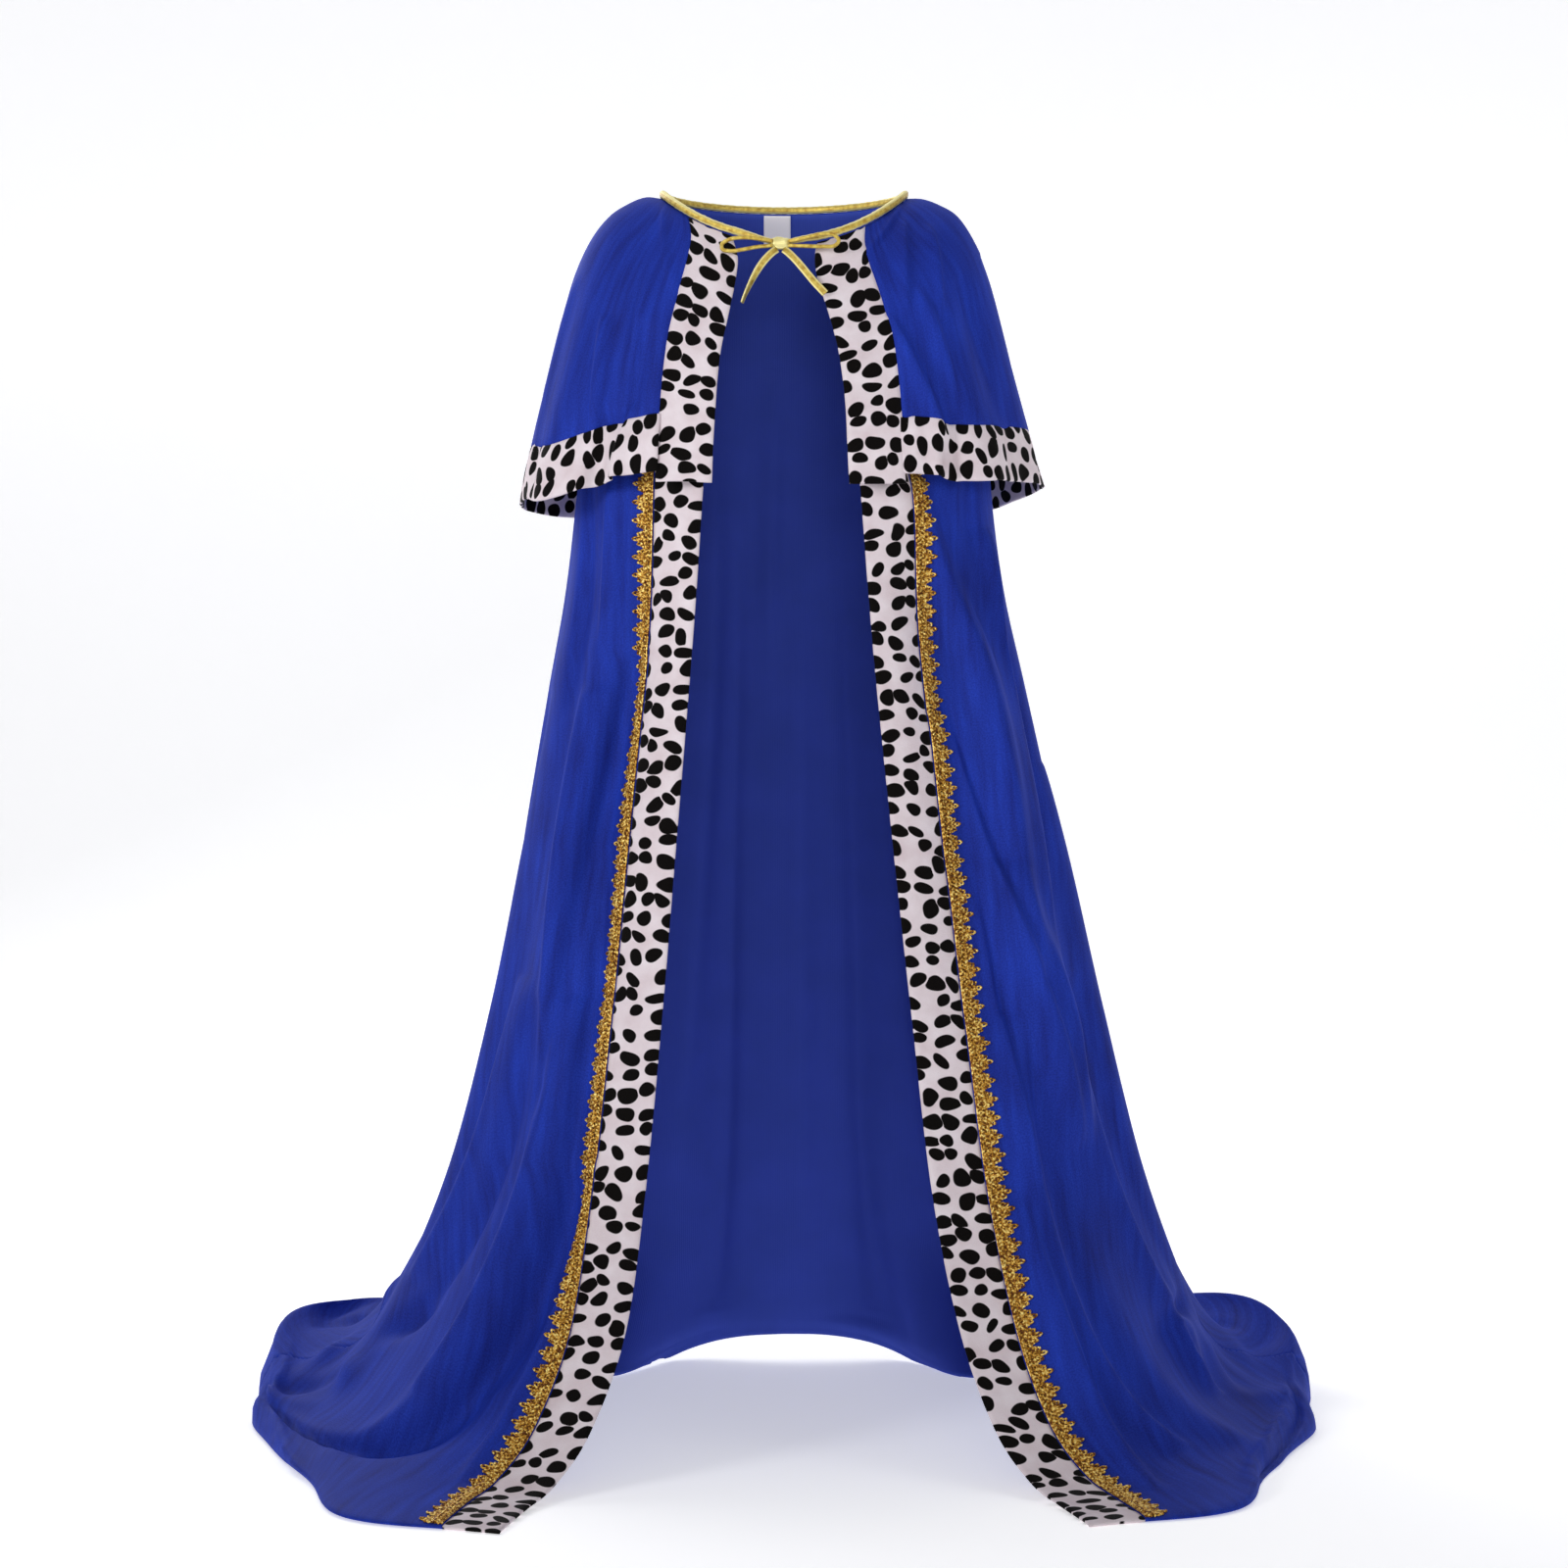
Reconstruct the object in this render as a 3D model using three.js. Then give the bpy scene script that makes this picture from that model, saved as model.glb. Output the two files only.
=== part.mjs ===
// King cape: a long velvet cape with a shoulder capelet, spotted plush bands, gold lace and a gold neck tie.
// It is worn open with no wearer, as a hollow of cloth. Millimetres, +Z up, +Y towards the wearer's back.
// The origin is the middle of the neck opening, where the shoulders carry the cape.
// R is the wearer's right, at -X, and L the wearer's left, at +X.
import * as THREE from 'three';
import { mergeVertices } from 'three/addons/utils/BufferGeometryUtils.js';

const NECK_HEIGHT = 1113; // from the floor to the origin; every height below is from the floor
const CLOTH = 2; // velvet
const PLUSH = 2.6; // doubled spotted plush
const SEAM_GAP = 0.3;
const BAND_WIDTH = 48; // front bands of the long cape
const CAPELET_BAND_WIDTH = 50;
const HEM_BAND_HEIGHT = 51;
const HEM_RISE = { height: 9, width: 0.1 }; // the hem ends this much above the front bands' ends, beside them
const LACE_COLUMN = 25; // width of the panel's first column, which carries the lace
const LACE = { inset: 1, crown: 20, valley: 12, thickness: 1.3, clearance: 0.85, pitch: 16, topRow: 4 };
const FRONT_FALL = 1.7; // how late the front sections drop from the side's height to the edge's
const SECTION_STEPS = 360; // samples round one section
const SIDE_SEAM = 0.56; // share of a half section, from the back's middle, where the side seam lies

// A table with named columns, read between its rows by a smooth curve through them.
function table(columns, rows) {
  const index = Object.fromEntries(columns.map((name, at) => [name, at]));
  const last = rows.length - 1;
  const value = (row, name) => rows[Math.min(Math.max(row, 0), last)][index[name]];
  const read = (t, name) => {
    const row = Math.min(Math.floor(Math.max(t, 0)), last - 1);
    const f = t - row;
    const [a, b, c, d] = [-1, 0, 1, 2].map((step) => value(row + step, name));
    const slopeIn = (c - a) / 2;
    const slopeOut = (d - b) / 2;
    const f2 = f * f;
    const f3 = f2 * f;
    const ends = b * (2 * f3 - 3 * f2 + 1) + c * (3 * f2 - 2 * f3);
    return ends + slopeIn * (f3 - 2 * f2 + f) + slopeOut * (f3 - f2);
  };
  const named = rows.map((row) => Object.fromEntries(columns.map((name, at) => [name, row[at]])));
  return { read, last, rows: named };
}

// A section has a half width and a height at each side, a depth and height at the back's middle, the depth of
// its widest place, and how square its curve is in front and behind.
const SECTION_COLUMNS = [
  'halfR', 'halfL', 'sideHR', 'sideHL', 'backY', 'backH', 'midY', 'squareFront', 'squareBack',
];

// Sections of the long cape from the neck to the hem.
const CAPE_SECTIONS = table(
  SECTION_COLUMNS,
  [
    [109.2, 109.2, 1107.0, 1107.0, 73.2, 1104.7, -5, 2.0, 2.0],
    [110.6, 110.6, 1103.4, 1103.4, 74.8, 1101.0, -5, 2.0, 2.0],
    [135, 135, 1096, 1096, 84, 1086, -5, 2.05, 2.05],
    [155, 155, 1082, 1082, 92, 1065, -5, 2.1, 2.1],
    [170, 170, 1058, 1058, 98, 1036, -4, 2.15, 2.15],
    [181, 181, 1010, 1010, 104, 990, -3, 2.2, 2.2],
    [186, 186, 940, 940, 110, 920, -2, 2.2, 2.2],
    [189, 190, 840, 840, 118, 838, -2, 2.2, 2.2],
    [196, 201, 750, 750, 126, 750, -3, 2.2, 2.2],
    [210, 219, 661, 661, 135, 661, -5, 2.2, 2.2],
    [235, 248, 517, 517, 153, 517, -8, 2.2, 2.2],
    [260, 275, 373, 373, 170, 373, -12, 2.2, 2.3],
    [295, 310, 229, 229, 188, 229, -10, 2.2, 2.4],
    [341, 354, 121, 121, 203, 125, 10, 2.3, 2.6],
    [392, 398, 48, 48, 210, 78, 40, 2.4, 2.9],
    [440, 444, 20, 20, 213, 55, 62, 2.3, 3.1],
    [463, 464, 16, 16, 215, 42, 70, 2.25, 3.2],
    [475, 475, 12, 12, 217, 34, 72, 2.2, 3.2],
    [478, 478, 3, 3, 218, 27, 72, 2.2, 3.2],
  ],
);

// The long cape's front edges, row by row with the sections: distance from the middle, depth and height.
const CAPE_EDGE_R = table(
  ['x', 'y', 'h'],
  [
    [49, -80.5, 1062.2], [50, -82, 1058.5], [50, -88, 1036], [52, -95, 1012], [56, -102, 990],
    [62, -109, 955], [68, -114, 905], [73, -119, 825], [78, -127, 745], [84, -139, 661],
    [95, -168, 517], [106, -195, 373], [119, -222, 229], [133, -280, 121], [159, -330, 50],
    [185, -363, 15], [203, -398, 6], [217, -456, 4], [219, -467, 2.8],
  ],
);
const CAPE_EDGE_L = table(
  ['x', 'y', 'h'],
  [
    [36, -83.5, 1056], [37, -85, 1052.2], [38, -90, 1033], [41, -97, 1012], [46, -103, 990],
    [54, -110, 955], [62, -115, 905], [69, -119, 825], [75, -127, 745], [82, -139, 661],
    [96, -168, 517], [111, -195, 373], [127, -222, 229], [148, -280, 121], [174, -325, 50],
    [200, -355, 15], [219, -388, 6], [235, -436, 4], [237, -446, 2.8],
  ],
);

// Folds of the long cape. A fold starts, is deepest and ends at these rows of the sections. Its place runs
// from at to foot, as a share of the half section from the back's middle, minus for R. Width is such a share
// too. Depth is outwards, in millimetres.
const CAPE_FOLDS = table(
  ['start', 'peak', 'end', 'at', 'foot', 'width', 'depth'],
  [
    [6.5, 9, 12, 0.83, 0.72, 0.045, 9],
    [7, 9.5, 12.5, 0.75, 0.66, 0.04, -7],
    [7.5, 12.5, 30, 0.66, 0.64, 0.05, 13],
    [10, 13, 17, 0.79, 0.62, 0.045, -11],
    [11, 13.5, 18, 0.86, 0.72, 0.04, 9],
    [6.5, 8.5, 11, -0.73, -0.75, 0.045, -7],
    [8.5, 10.5, 12.5, -0.8, -0.82, 0.045, 8],
    [9.5, 11.8, 15, -0.72, -0.68, 0.05, -11],
    [10.5, 13, 18, -0.83, -0.8, 0.04, 8],
    [7.5, 12.5, 30, -0.62, -0.6, 0.05, 11],
    [5.5, 13, 30, -0.08, -0.085, 0.035, 9],
    [5.5, 13, 30, 0.095, 0.1, 0.035, 9],
    [5.5, 13, 30, 0.0, 0.0, 0.03, -5],
    [6.5, 13, 30, -0.26, -0.27, 0.045, 15],
    [6.5, 13, 30, -0.37, -0.38, 0.045, -16],
    [6.5, 13, 30, -0.49, -0.49, 0.05, 13],
    [6.5, 13, 30, 0.27, 0.28, 0.045, 14],
    [6.5, 13, 30, 0.38, 0.39, 0.045, -15],
    [6.5, 13, 30, 0.5, 0.51, 0.05, 14],
    [12.2, 17, 30, -0.152, -0.152, 0.046, -96],
    [12.2, 17, 30, 0.162, 0.162, 0.046, -96],
    [13.5, 17.5, 30, -0.895, -0.895, 0.066, 42],
    [13.5, 17.5, 30, 0.895, 0.895, 0.066, 42],
    [5.5, 9, 15, -0.85, -0.865, 0.062, -21],
    [5.5, 8.6, 13, 0.85, 0.865, 0.062, -21],
  ],
).rows;

// Cloth heaped on the floor: raised by height round this place, between these rows.
const CAPE_HEAPS = table(
  ['start', 'peak', 'end', 'at', 'width', 'height'],
  [
    [13, 15.8, 18, -0.43, 0.13, 54],
    [13, 15.8, 18, 0.43, 0.13, 57],
    [13.5, 16.5, 30, -0.135, 0.07, -34],
    [13.5, 16.5, 30, 0.15, 0.07, -34],
  ],
).rows;

// The capelet, from the neck to its hem, which is lower on the wearer's right.
const CAPELET_SECTIONS = table(
  SECTION_COLUMNS,
  [
    [112.8, 112.8, 1107.2, 1107.2, 76.3, 1104.7, -5, 2.0, 2.0],
    [127, 127, 1108.6, 1107, 85, 1098, -5, 2.0, 2.0],
    [143, 143, 1102.4, 1101.2, 93, 1087, -5, 2.05, 2.05],
    [160, 159, 1091, 1091, 100, 1070, -5, 2.1, 2.1],
    [176.5, 173, 1070, 1070, 107, 1044, -4, 2.15, 2.15],
    [191, 186, 1039, 1039, 112, 1011, -3, 2.2, 2.2],
    [202, 196, 1003, 1003, 116, 973, -2, 2.2, 2.2],
    [216, 208, 950, 952, 121, 925, -2, 2.2, 2.2],
    [230, 221, 895, 900, 125, 873, -2, 2.2, 2.2],
    [243, 235, 834, 846, 128, 821, -2, 2.2, 2.2],
  ],
);
const CAPELET_EDGE_R = table(
  ['x', 'y', 'h'],
  [
    [47, -85.5, 1062.5], [42, -95, 1043], [43.5, -101, 1023], [47, -107, 1004], [51, -113, 984],
    [56, -119, 960], [59, -124, 935], [61, -129, 905], [63, -132, 870], [64, -135, 836],
  ],
);
const CAPELET_EDGE_L = table(
  ['x', 'y', 'h'],
  [
    [30, -88.5, 1056.2], [28, -96, 1040], [30.5, -102, 1022], [36, -108, 1004], [42, -114, 984],
    [48, -120, 960], [52, -125, 935], [55, -130, 905], [56.5, -133, 870], [58, -136, 838],
  ],
);
const CAPELET_FOLDS = table(
  ['start', 'peak', 'end', 'at', 'foot', 'width', 'depth'],
  [
    [3, 9, 30, -0.79, -0.8, 0.035, -6],
    [3, 9, 30, -0.7, -0.7, 0.04, 5],
    [4, 9, 30, -0.6, -0.6, 0.035, -5],
    [3, 9, 30, -0.5, -0.49, 0.04, 6],
    [3, 9, 30, -0.38, -0.36, 0.04, -6],
    [3, 9, 30, -0.24, -0.22, 0.04, 5],
    [3, 9, 30, -0.1, -0.1, 0.04, -5],
    [3, 9, 30, 0.04, 0.04, 0.04, 5],
    [3, 9, 30, 0.17, 0.18, 0.04, -5],
    [3, 9, 30, 0.3, 0.31, 0.04, 6],
    [3, 9, 30, 0.43, 0.44, 0.04, -6],
    [3, 9, 30, 0.55, 0.56, 0.04, 5],
    [4, 9, 30, 0.66, 0.66, 0.03, -5],
    [3, 9, 30, 0.78, 0.76, 0.035, 5],
  ],
).rows;

// Where the capelet's hem hangs lower or rides higher, in the same way as the heaps.
const CAPELET_DROPS = table(
  ['start', 'peak', 'end', 'at', 'width', 'height'],
  [
    [5, 9, 30, -0.93, 0.1, 5],
    [5, 9, 30, -0.7, 0.07, -9],
    [5, 9, 30, -0.42, 0.14, -10],
    [5, 9, 30, 0.4, 0.13, -10],
    [5, 9, 30, 0.8, 0.06, -4],
  ],
).rows;

// The gold binding round the neck, as one section, and its ends from the front edges to the knot.
const NECK = { half: 111.2, sideH: 1111.3, backY: 75, backH: 1108.8, midY: -5 };
const NECK_EDGE_R = { x: 47, y: -84, h: 1067.6 };
const NECK_EDGE_L = { x: 30, y: -87, h: 1061.2 };
const BINDING = { width: 5.4, height: 6.6, sides: 8, steps: 44 };
const BINDING_END_R = [[-38, -89, 1064.2], [-26, -92, 1060], [-10.8, -93.6, 1055.6]];
const BINDING_END_L = [[23, -90, 1059.6], [14, -92.5, 1057.6], [4.5, -93.6, 1055.6]];
const KNOT = { x: -3.2, y: -95.5, h: 1053.6, halfX: 8, halfY: 5, halfH: 5.6 };
const LOOP_TAPE = { width: 3.4, depth: 4.6 };
const LOOP_R = [
  [-10.6, -98.2, 1055.4], [-22, -99.5, 1057.2], [-34, -100.5, 1058.2], [-47, -100.5, 1057.0],
  [-55, -100, 1052.5], [-54.5, -99.5, 1047.8], [-47, -99.5, 1046.4], [-37, -100, 1047.6],
  [-24, -99.5, 1050.0], [-10.4, -98.2, 1051.4],
];
const LOOP_L = [
  [4.6, -98.2, 1055.4], [12, -99.5, 1056.6], [22, -100.5, 1058.8], [35, -101, 1061.6],
  [44.5, -100.5, 1060.4], [48.6, -100, 1055.6], [45, -99.5, 1051.2], [34, -99.5, 1050.4],
  [20, -99.5, 1050.8], [4, -98.2, 1051.4],
];
const TAIL_TAPE = { width: 6.8, thickness: 1.8 };
const TAIL_R = [
  [-6.5, -98.6, 1048.1], [-10.2, -101, 1045.2], [-15.8, -103.2, 1039.5], [-21.5, -104, 1032],
  [-26.5, -104.6, 1023.5], [-31, -105, 1014.5], [-34.6, -105.4, 1006.5], [-37.2, -105.6, 999.8],
];
const TAIL_L = [
  [0, -98.6, 1048.1], [4.2, -101.2, 1044.4], [10.6, -103.6, 1037.8], [16.2, -104.8, 1031.2],
  [22, -106, 1024], [27.4, -107.4, 1017.4], [32.4, -109.2, 1011.8], [36.4, -111, 1007.4],
];
const LABEL = { width: 25, length: 31, thickness: 0.8, clearance: 0.4, centre: -6.5, top: 0.8 };

const COLOURS = {
  velvet: 0x2236a0, plush: 0xece2e8, lace: 0xc8962a, binding: 0xe1cd6e, label: 0xf4f2f2,
};

const smooth = (f) => {
  const x = Math.min(Math.max(f, 0), 1);
  return x * x * (3 - 2 * x);
};
const bell = (offset, width) => Math.exp(-((offset / width) ** 2));

// A section's height changes from the side's to the back's, or to the front edge's, with the angle's cosine.
function heightChange(cos, cosEdge, behind, toBack, toEdge) {
  return behind ? toBack * cos ** 2 : toEdge * (cos / cosEdge) ** FRONT_FALL;
}

// How strong a fold or heap is at row t: it rises from start to peak and falls to end.
function strength(fold, t) {
  if (t <= fold.peak) return smooth((t - fold.start) / (fold.peak - fold.start));
  return smooth((fold.end - t) / (fold.end - fold.peak));
}

// A draped surface. section(t) is one line of points round the body from the R front edge over the back to the
// L front edge, with its length so far; at(t, s) is the point s along it and normal(t, s) points outwards.
class Drape {
  constructor(sections, edgeR, edgeL, folds = [], heaps = []) {
    Object.assign(this, { sections, edgeR, edgeL, folds, heaps, cache: new Map() });
    this.last = sections.last;
  }

  // One half of the plain section, from the back's middle to the front edge: two squared-off ellipses.
  half(t, side) {
    const read = (name) => this.sections.read(t, name);
    const edge = side < 0 ? this.edgeR : this.edgeL;
    const [edgeX, edgeY, edgeH] = ['x', 'y', 'h'].map((name) => edge.read(t, name));
    const width = read(side < 0 ? 'halfR' : 'halfL');
    const [midY, sideH] = [read('midY'), read(side < 0 ? 'sideHR' : 'sideHL')];
    const front = 2 / read('squareFront');
    const back = 2 / read('squareBack');
    const sinEdge = (edgeX / width) ** (1 / front);
    const cosEdge = Math.sqrt(1 - sinEdge ** 2);
    const frontDepth = (midY - edgeY) / cosEdge ** front;
    const endAngle = Math.PI - Math.asin(sinEdge);
    const points = [];
    for (let step = 0; step <= SECTION_STEPS / 2; step += 1) {
      const angle = (endAngle * step * 2) / SECTION_STEPS;
      const [sin, cos] = [Math.sin(angle), Math.abs(Math.cos(angle))];
      const behind = angle < Math.PI / 2;
      const power = behind ? back : front;
      const y = behind ? midY + (read('backY') - midY) * cos ** power : midY - frontDepth * cos ** power;
      const height = sideH + heightChange(cos, cosEdge, behind, read('backH') - sideH, edgeH - sideH);
      points.push(new THREE.Vector3(side * width * sin ** power, y, height - NECK_HEIGHT));
    }
    return points;
  }

  section(t) {
    const key = t.toFixed(5);
    if (this.cache.has(key)) return this.cache.get(key);
    const plain = [...this.half(t, -1).reverse(), ...this.half(t, 1).slice(1)];
    const lengths = runningLengths(plain);
    const middle = lengths[SECTION_STEPS / 2];
    const total = lengths[SECTION_STEPS];
    const points = plain.map((point, index) => {
      const place = (lengths[index] - middle) / (lengths[index] < middle ? middle : total - middle);
      const before = plain[Math.max(index - 1, 0)];
      const after = plain[Math.min(index + 1, SECTION_STEPS)];
      const out = new THREE.Vector3(before.y - after.y, after.x - before.x, 0).normalize();
      let depth = 0;
      for (const fold of this.folds) {
        const end = Math.min(fold.end, this.last);
        const along = Math.min(Math.max((t - fold.start) / (end - fold.start), 0), 1);
        const centre = fold.at + (fold.foot - fold.at) * along;
        depth += fold.depth * strength(fold, t) * bell(place - centre, fold.width);
      }
      let rise = 0;
      for (const heap of this.heaps) {
        rise += heap.height * strength(heap, t) * bell(place - heap.at, heap.width);
      }
      const moved = point.clone().addScaledVector(out, depth);
      moved.z = Math.max(moved.z + rise, Math.min(point.z, CLOTH + 0.8 - NECK_HEIGHT));
      return moved;
    });
    const made = { points, lengths: runningLengths(points) };
    made.total = made.lengths[SECTION_STEPS];
    made.middle = made.lengths[SECTION_STEPS / 2];
    this.cache.set(key, made);
    return made;
  }

  at(t, s) {
    const { points, lengths, total } = this.section(t);
    const wanted = Math.min(Math.max(s, 0), total);
    let low = 0;
    let high = SECTION_STEPS;
    while (high - low > 1) {
      const probe = (low + high) >> 1;
      if (lengths[probe] > wanted) high = probe;
      else low = probe;
    }
    const share = (wanted - lengths[low]) / Math.max(lengths[high] - lengths[low], 1e-9);
    return points[low].clone().lerp(points[high], share);
  }

  normal(t, s) {
    const reach = 3;
    const down = 0.05;
    const { total } = this.section(t);
    const across = this.at(t, Math.min(s + reach, total)).sub(this.at(t, Math.max(s - reach, 0)));
    const [above, below] = [Math.max(t - down, 0), Math.min(t + down, this.last)];
    const share = (row) => (s * this.section(row).total) / total;
    const along = this.at(below, share(below)).sub(this.at(above, share(above)));
    return across.cross(along).normalize();
  }

  node(t, s) {
    return { point: this.at(t, s), normal: this.normal(t, s) };
  }
}

function runningLengths(points) {
  const lengths = [0];
  for (let index = 1; index < points.length; index += 1) {
    lengths.push(lengths[index - 1] + points[index].distanceTo(points[index - 1]));
  }
  return lengths;
}

// Evenly spaced values from a to b.
const spread = (a, b, count) => Array.from({ length: count + 1 }, (_, index) => a + ((b - a) * index) / count);

function meshOf(name, vertices, triangles, colour, roughness, metalness = 0) {
  let geometry = new THREE.BufferGeometry();
  const positions = vertices.flatMap((v) => [v.x, v.y, v.z]);
  geometry.setAttribute('position', new THREE.Float32BufferAttribute(positions, 3));
  geometry.setIndex(triangles.flat());
  geometry = mergeVertices(geometry, 1e-4);
  const material = new THREE.MeshStandardMaterial({ color: colour, roughness, metalness });
  const mesh = new THREE.Mesh(geometry, material);
  mesh.name = name;
  return mesh;
}

// A closed wall on a grid of points with outward normals: rows run down, columns run from R to L. The outer
// face lies raise beyond the points and the inner face thickness below it.
function wall(grid, thickness, raise = 0) {
  const rows = grid.length;
  const columns = grid[0].length;
  const nodes = grid.flat();
  const lift = (distance) => nodes.map((node) => node.point.clone().addScaledVector(node.normal, distance));
  const vertices = [...lift(raise), ...lift(raise - thickness)];
  const outer = (row, column) => row * columns + column;
  const inner = (row, column) => rows * columns + outer(row, column);
  const triangles = [];
  for (let row = 0; row + 1 < rows; row += 1) {
    for (let column = 0; column + 1 < columns; column += 1) {
      const corners = [[row, column], [row, column + 1], [row + 1, column + 1], [row + 1, column]];
      const [a, b, c, d] = corners.map(([r, k]) => outer(r, k));
      const [e, f, g, h] = corners.map(([r, k]) => inner(r, k));
      triangles.push([a, b, c], [a, c, d], [e, g, f], [e, h, g]);
    }
  }
  // Facing rims of two pieces at a seam are split along the same diagonal, so they stay parted.
  const rim = (from, to, first) => {
    const [p, q] = [outer(...from), outer(...to)];
    const [r, s] = [inner(...from), inner(...to)];
    if (first) triangles.push([q, p, s], [p, r, s]);
    else triangles.push([q, p, r], [q, r, s]);
  };
  for (let column = 0; column + 1 < columns; column += 1) {
    rim([0, column], [0, column + 1], true);
    rim([rows - 1, column + 1], [rows - 1, column], false);
  }
  for (let row = 0; row + 1 < rows; row += 1) {
    rim([row + 1, 0], [row, 0], true);
    rim([row, columns - 1], [row + 1, columns - 1], false);
  }
  return { vertices, triangles };
}

// A closed bar along a path: each station has a centre, a width sideways and a height along its own up line.
function bar(stations, sides) {
  const vertices = [];
  const triangles = [];
  const last = stations.length - 1;
  stations.forEach(({ centre, width, height, up }, index) => {
    const before = stations[Math.max(index - 1, 0)].centre;
    const after = stations[Math.min(index + 1, last)].centre;
    const along = after.clone().sub(before).normalize();
    const sideways = along.clone().cross(up).normalize();
    const upright = sideways.clone().cross(along).normalize();
    for (let side = 0; side < sides; side += 1) {
      const angle = (2 * Math.PI * (side + 0.5)) / sides;
      const [cos, sin] = [Math.cos(angle), Math.sin(angle)];
      const round = (value) => Math.sign(value) * Math.abs(value) ** 0.6;
      vertices.push(centre.clone()
        .addScaledVector(sideways, (round(cos) * width) / 2)
        .addScaledVector(upright, (round(sin) * height) / 2));
    }
  });
  for (let index = 0; index < last; index += 1) {
    for (let side = 0; side < sides; side += 1) {
      const next = (side + 1) % sides;
      const [a, b] = [index * sides + side, index * sides + next];
      triangles.push([a, b + sides, b], [a, a + sides, b + sides]);
    }
  }
  for (let side = 1; side + 1 < sides; side += 1) {
    triangles.push([0, side, side + 1], [last * sides, last * sides + side + 1, last * sides + side]);
  }
  return { vertices, triangles };
}

const heightPoint = ([x, y, h]) => new THREE.Vector3(x, y, h - NECK_HEIGHT);

// The long cape: two front bands, two front panels with lace, and the back.
const cape = new Drape(CAPE_SECTIONS, CAPE_EDGE_R, CAPE_EDGE_L, CAPE_FOLDS, CAPE_HEAPS);
const capeRows = [0, 1, 2, 3, 4, 5.2, 6.2, 7, ...spread(7.7, 14, 9), ...spread(14.5, 18, 7)];
const FRONT_COLUMNS = 12;
const BACK_COLUMNS = 36;

function seams(t) {
  const { total, middle } = cape.section(t);
  return { total, seamR: middle * (1 - SIDE_SEAM), seamL: middle + (total - middle) * SIDE_SEAM };
}

const columnsOf = {
  front_band_right: () => spread(0, BAND_WIDTH, 2),
  cape_front_right: (t) => {
    const start = BAND_WIDTH + SEAM_GAP;
    return [start, ...spread(start + LACE_COLUMN, seams(t).seamR - SEAM_GAP / 2, FRONT_COLUMNS)];
  },
  cape_back: (t) => spread(seams(t).seamR + SEAM_GAP / 2, seams(t).seamL - SEAM_GAP / 2, BACK_COLUMNS),
  cape_front_left: (t) => {
    const end = seams(t).total - BAND_WIDTH - SEAM_GAP;
    return [...spread(seams(t).seamL + SEAM_GAP / 2, end - LACE_COLUMN, FRONT_COLUMNS), end];
  },
  front_band_left: (t) => spread(seams(t).total - BAND_WIDTH, seams(t).total, 2),
};

const grids = Object.fromEntries(Object.entries(columnsOf).map(([name, columns]) => [
  name,
  capeRows.map((t) => columns(t).map((s) => cape.node(t, s))),
]));

// A point on a panel's flat facets, u across and v down the cell at row and column. A raise below nothing
// gives the facets of the face that far inside.
function onFacet(grid, row, column, u, v, raise = 0) {
  const [a, b] = [grid[row][column], grid[row][column + 1]];
  const [d, c] = [grid[row + 1][column], grid[row + 1][column + 1]];
  const weights = v <= u ? [[a, 1 - u], [b, u - v], [c, v]] : [[a, 1 - v], [d, v - u], [c, u]];
  const point = new THREE.Vector3();
  const normal = new THREE.Vector3();
  for (const [node, weight] of weights) {
    point.addScaledVector(node.point, weight).addScaledVector(node.normal, weight * raise);
    normal.addScaledVector(node.normal, weight);
  }
  return { point, normal: normal.normalize() };
}

// The lace lies on the panel's first column: a braid beside the seam with a scalloped outer edge.
function laceGrid(name, isRight) {
  const grid = grids[name];
  const column = isRight ? 0 : grid[0].length - 2;
  const across = (distance) => (isRight ? distance / LACE_COLUMN : 1 - distance / LACE_COLUMN);
  const rows = [];
  for (let row = LACE.topRow; row + 1 < grid.length; row += 1) {
    const seamColumn = isRight ? column : column + 1;
    const length = grid[row][seamColumn].point.distanceTo(grid[row + 1][seamColumn].point);
    const stations = 2 * Math.max(Math.round(length / LACE.pitch), 1);
    const steps = row + 2 < grid.length ? stations - 1 : stations;
    for (let step = 0; step <= steps; step += 1) {
      const reach = step % 2 ? LACE.crown : LACE.valley;
      const distances = isRight ? [LACE.inset, reach] : [reach, LACE.inset];
      rows.push(distances.map((distance) => onFacet(grid, row, column, across(distance), step / stations)));
    }
  }
  return rows;
}

// The capelet: body, hem band and front bands. The hem band starts HEM_BAND_HEIGHT above the hem, which rises
// towards the front bands and ends a little above their ends.
const capelet = new Drape(CAPELET_SECTIONS, CAPELET_EDGE_R, CAPELET_EDGE_L, CAPELET_FOLDS, CAPELET_DROPS);
const CAPELET_COLUMNS = 54;
const CAPELET_BODY_ROWS = 9;
const HEM_BAND_ROWS = 2;

const capeletColumn = (t, share) => {
  const start = CAPELET_BAND_WIDTH + SEAM_GAP;
  return start + (capelet.section(t).total - 2 * start) * share;
};

// The row t at which a column of the capelet is still distance above the hem.
function rowAbove(share, distance) {
  const rows = spread(capelet.last, 0, 60);
  const lengths = runningLengths(rows.map((t) => capelet.at(t, capeletColumn(t, share))));
  const index = lengths.findIndex((length) => length > distance);
  const part = (distance - lengths[index - 1]) / (lengths[index] - lengths[index - 1]);
  return rows[index - 1] + (rows[index] - rows[index - 1]) * part;
}

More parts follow.
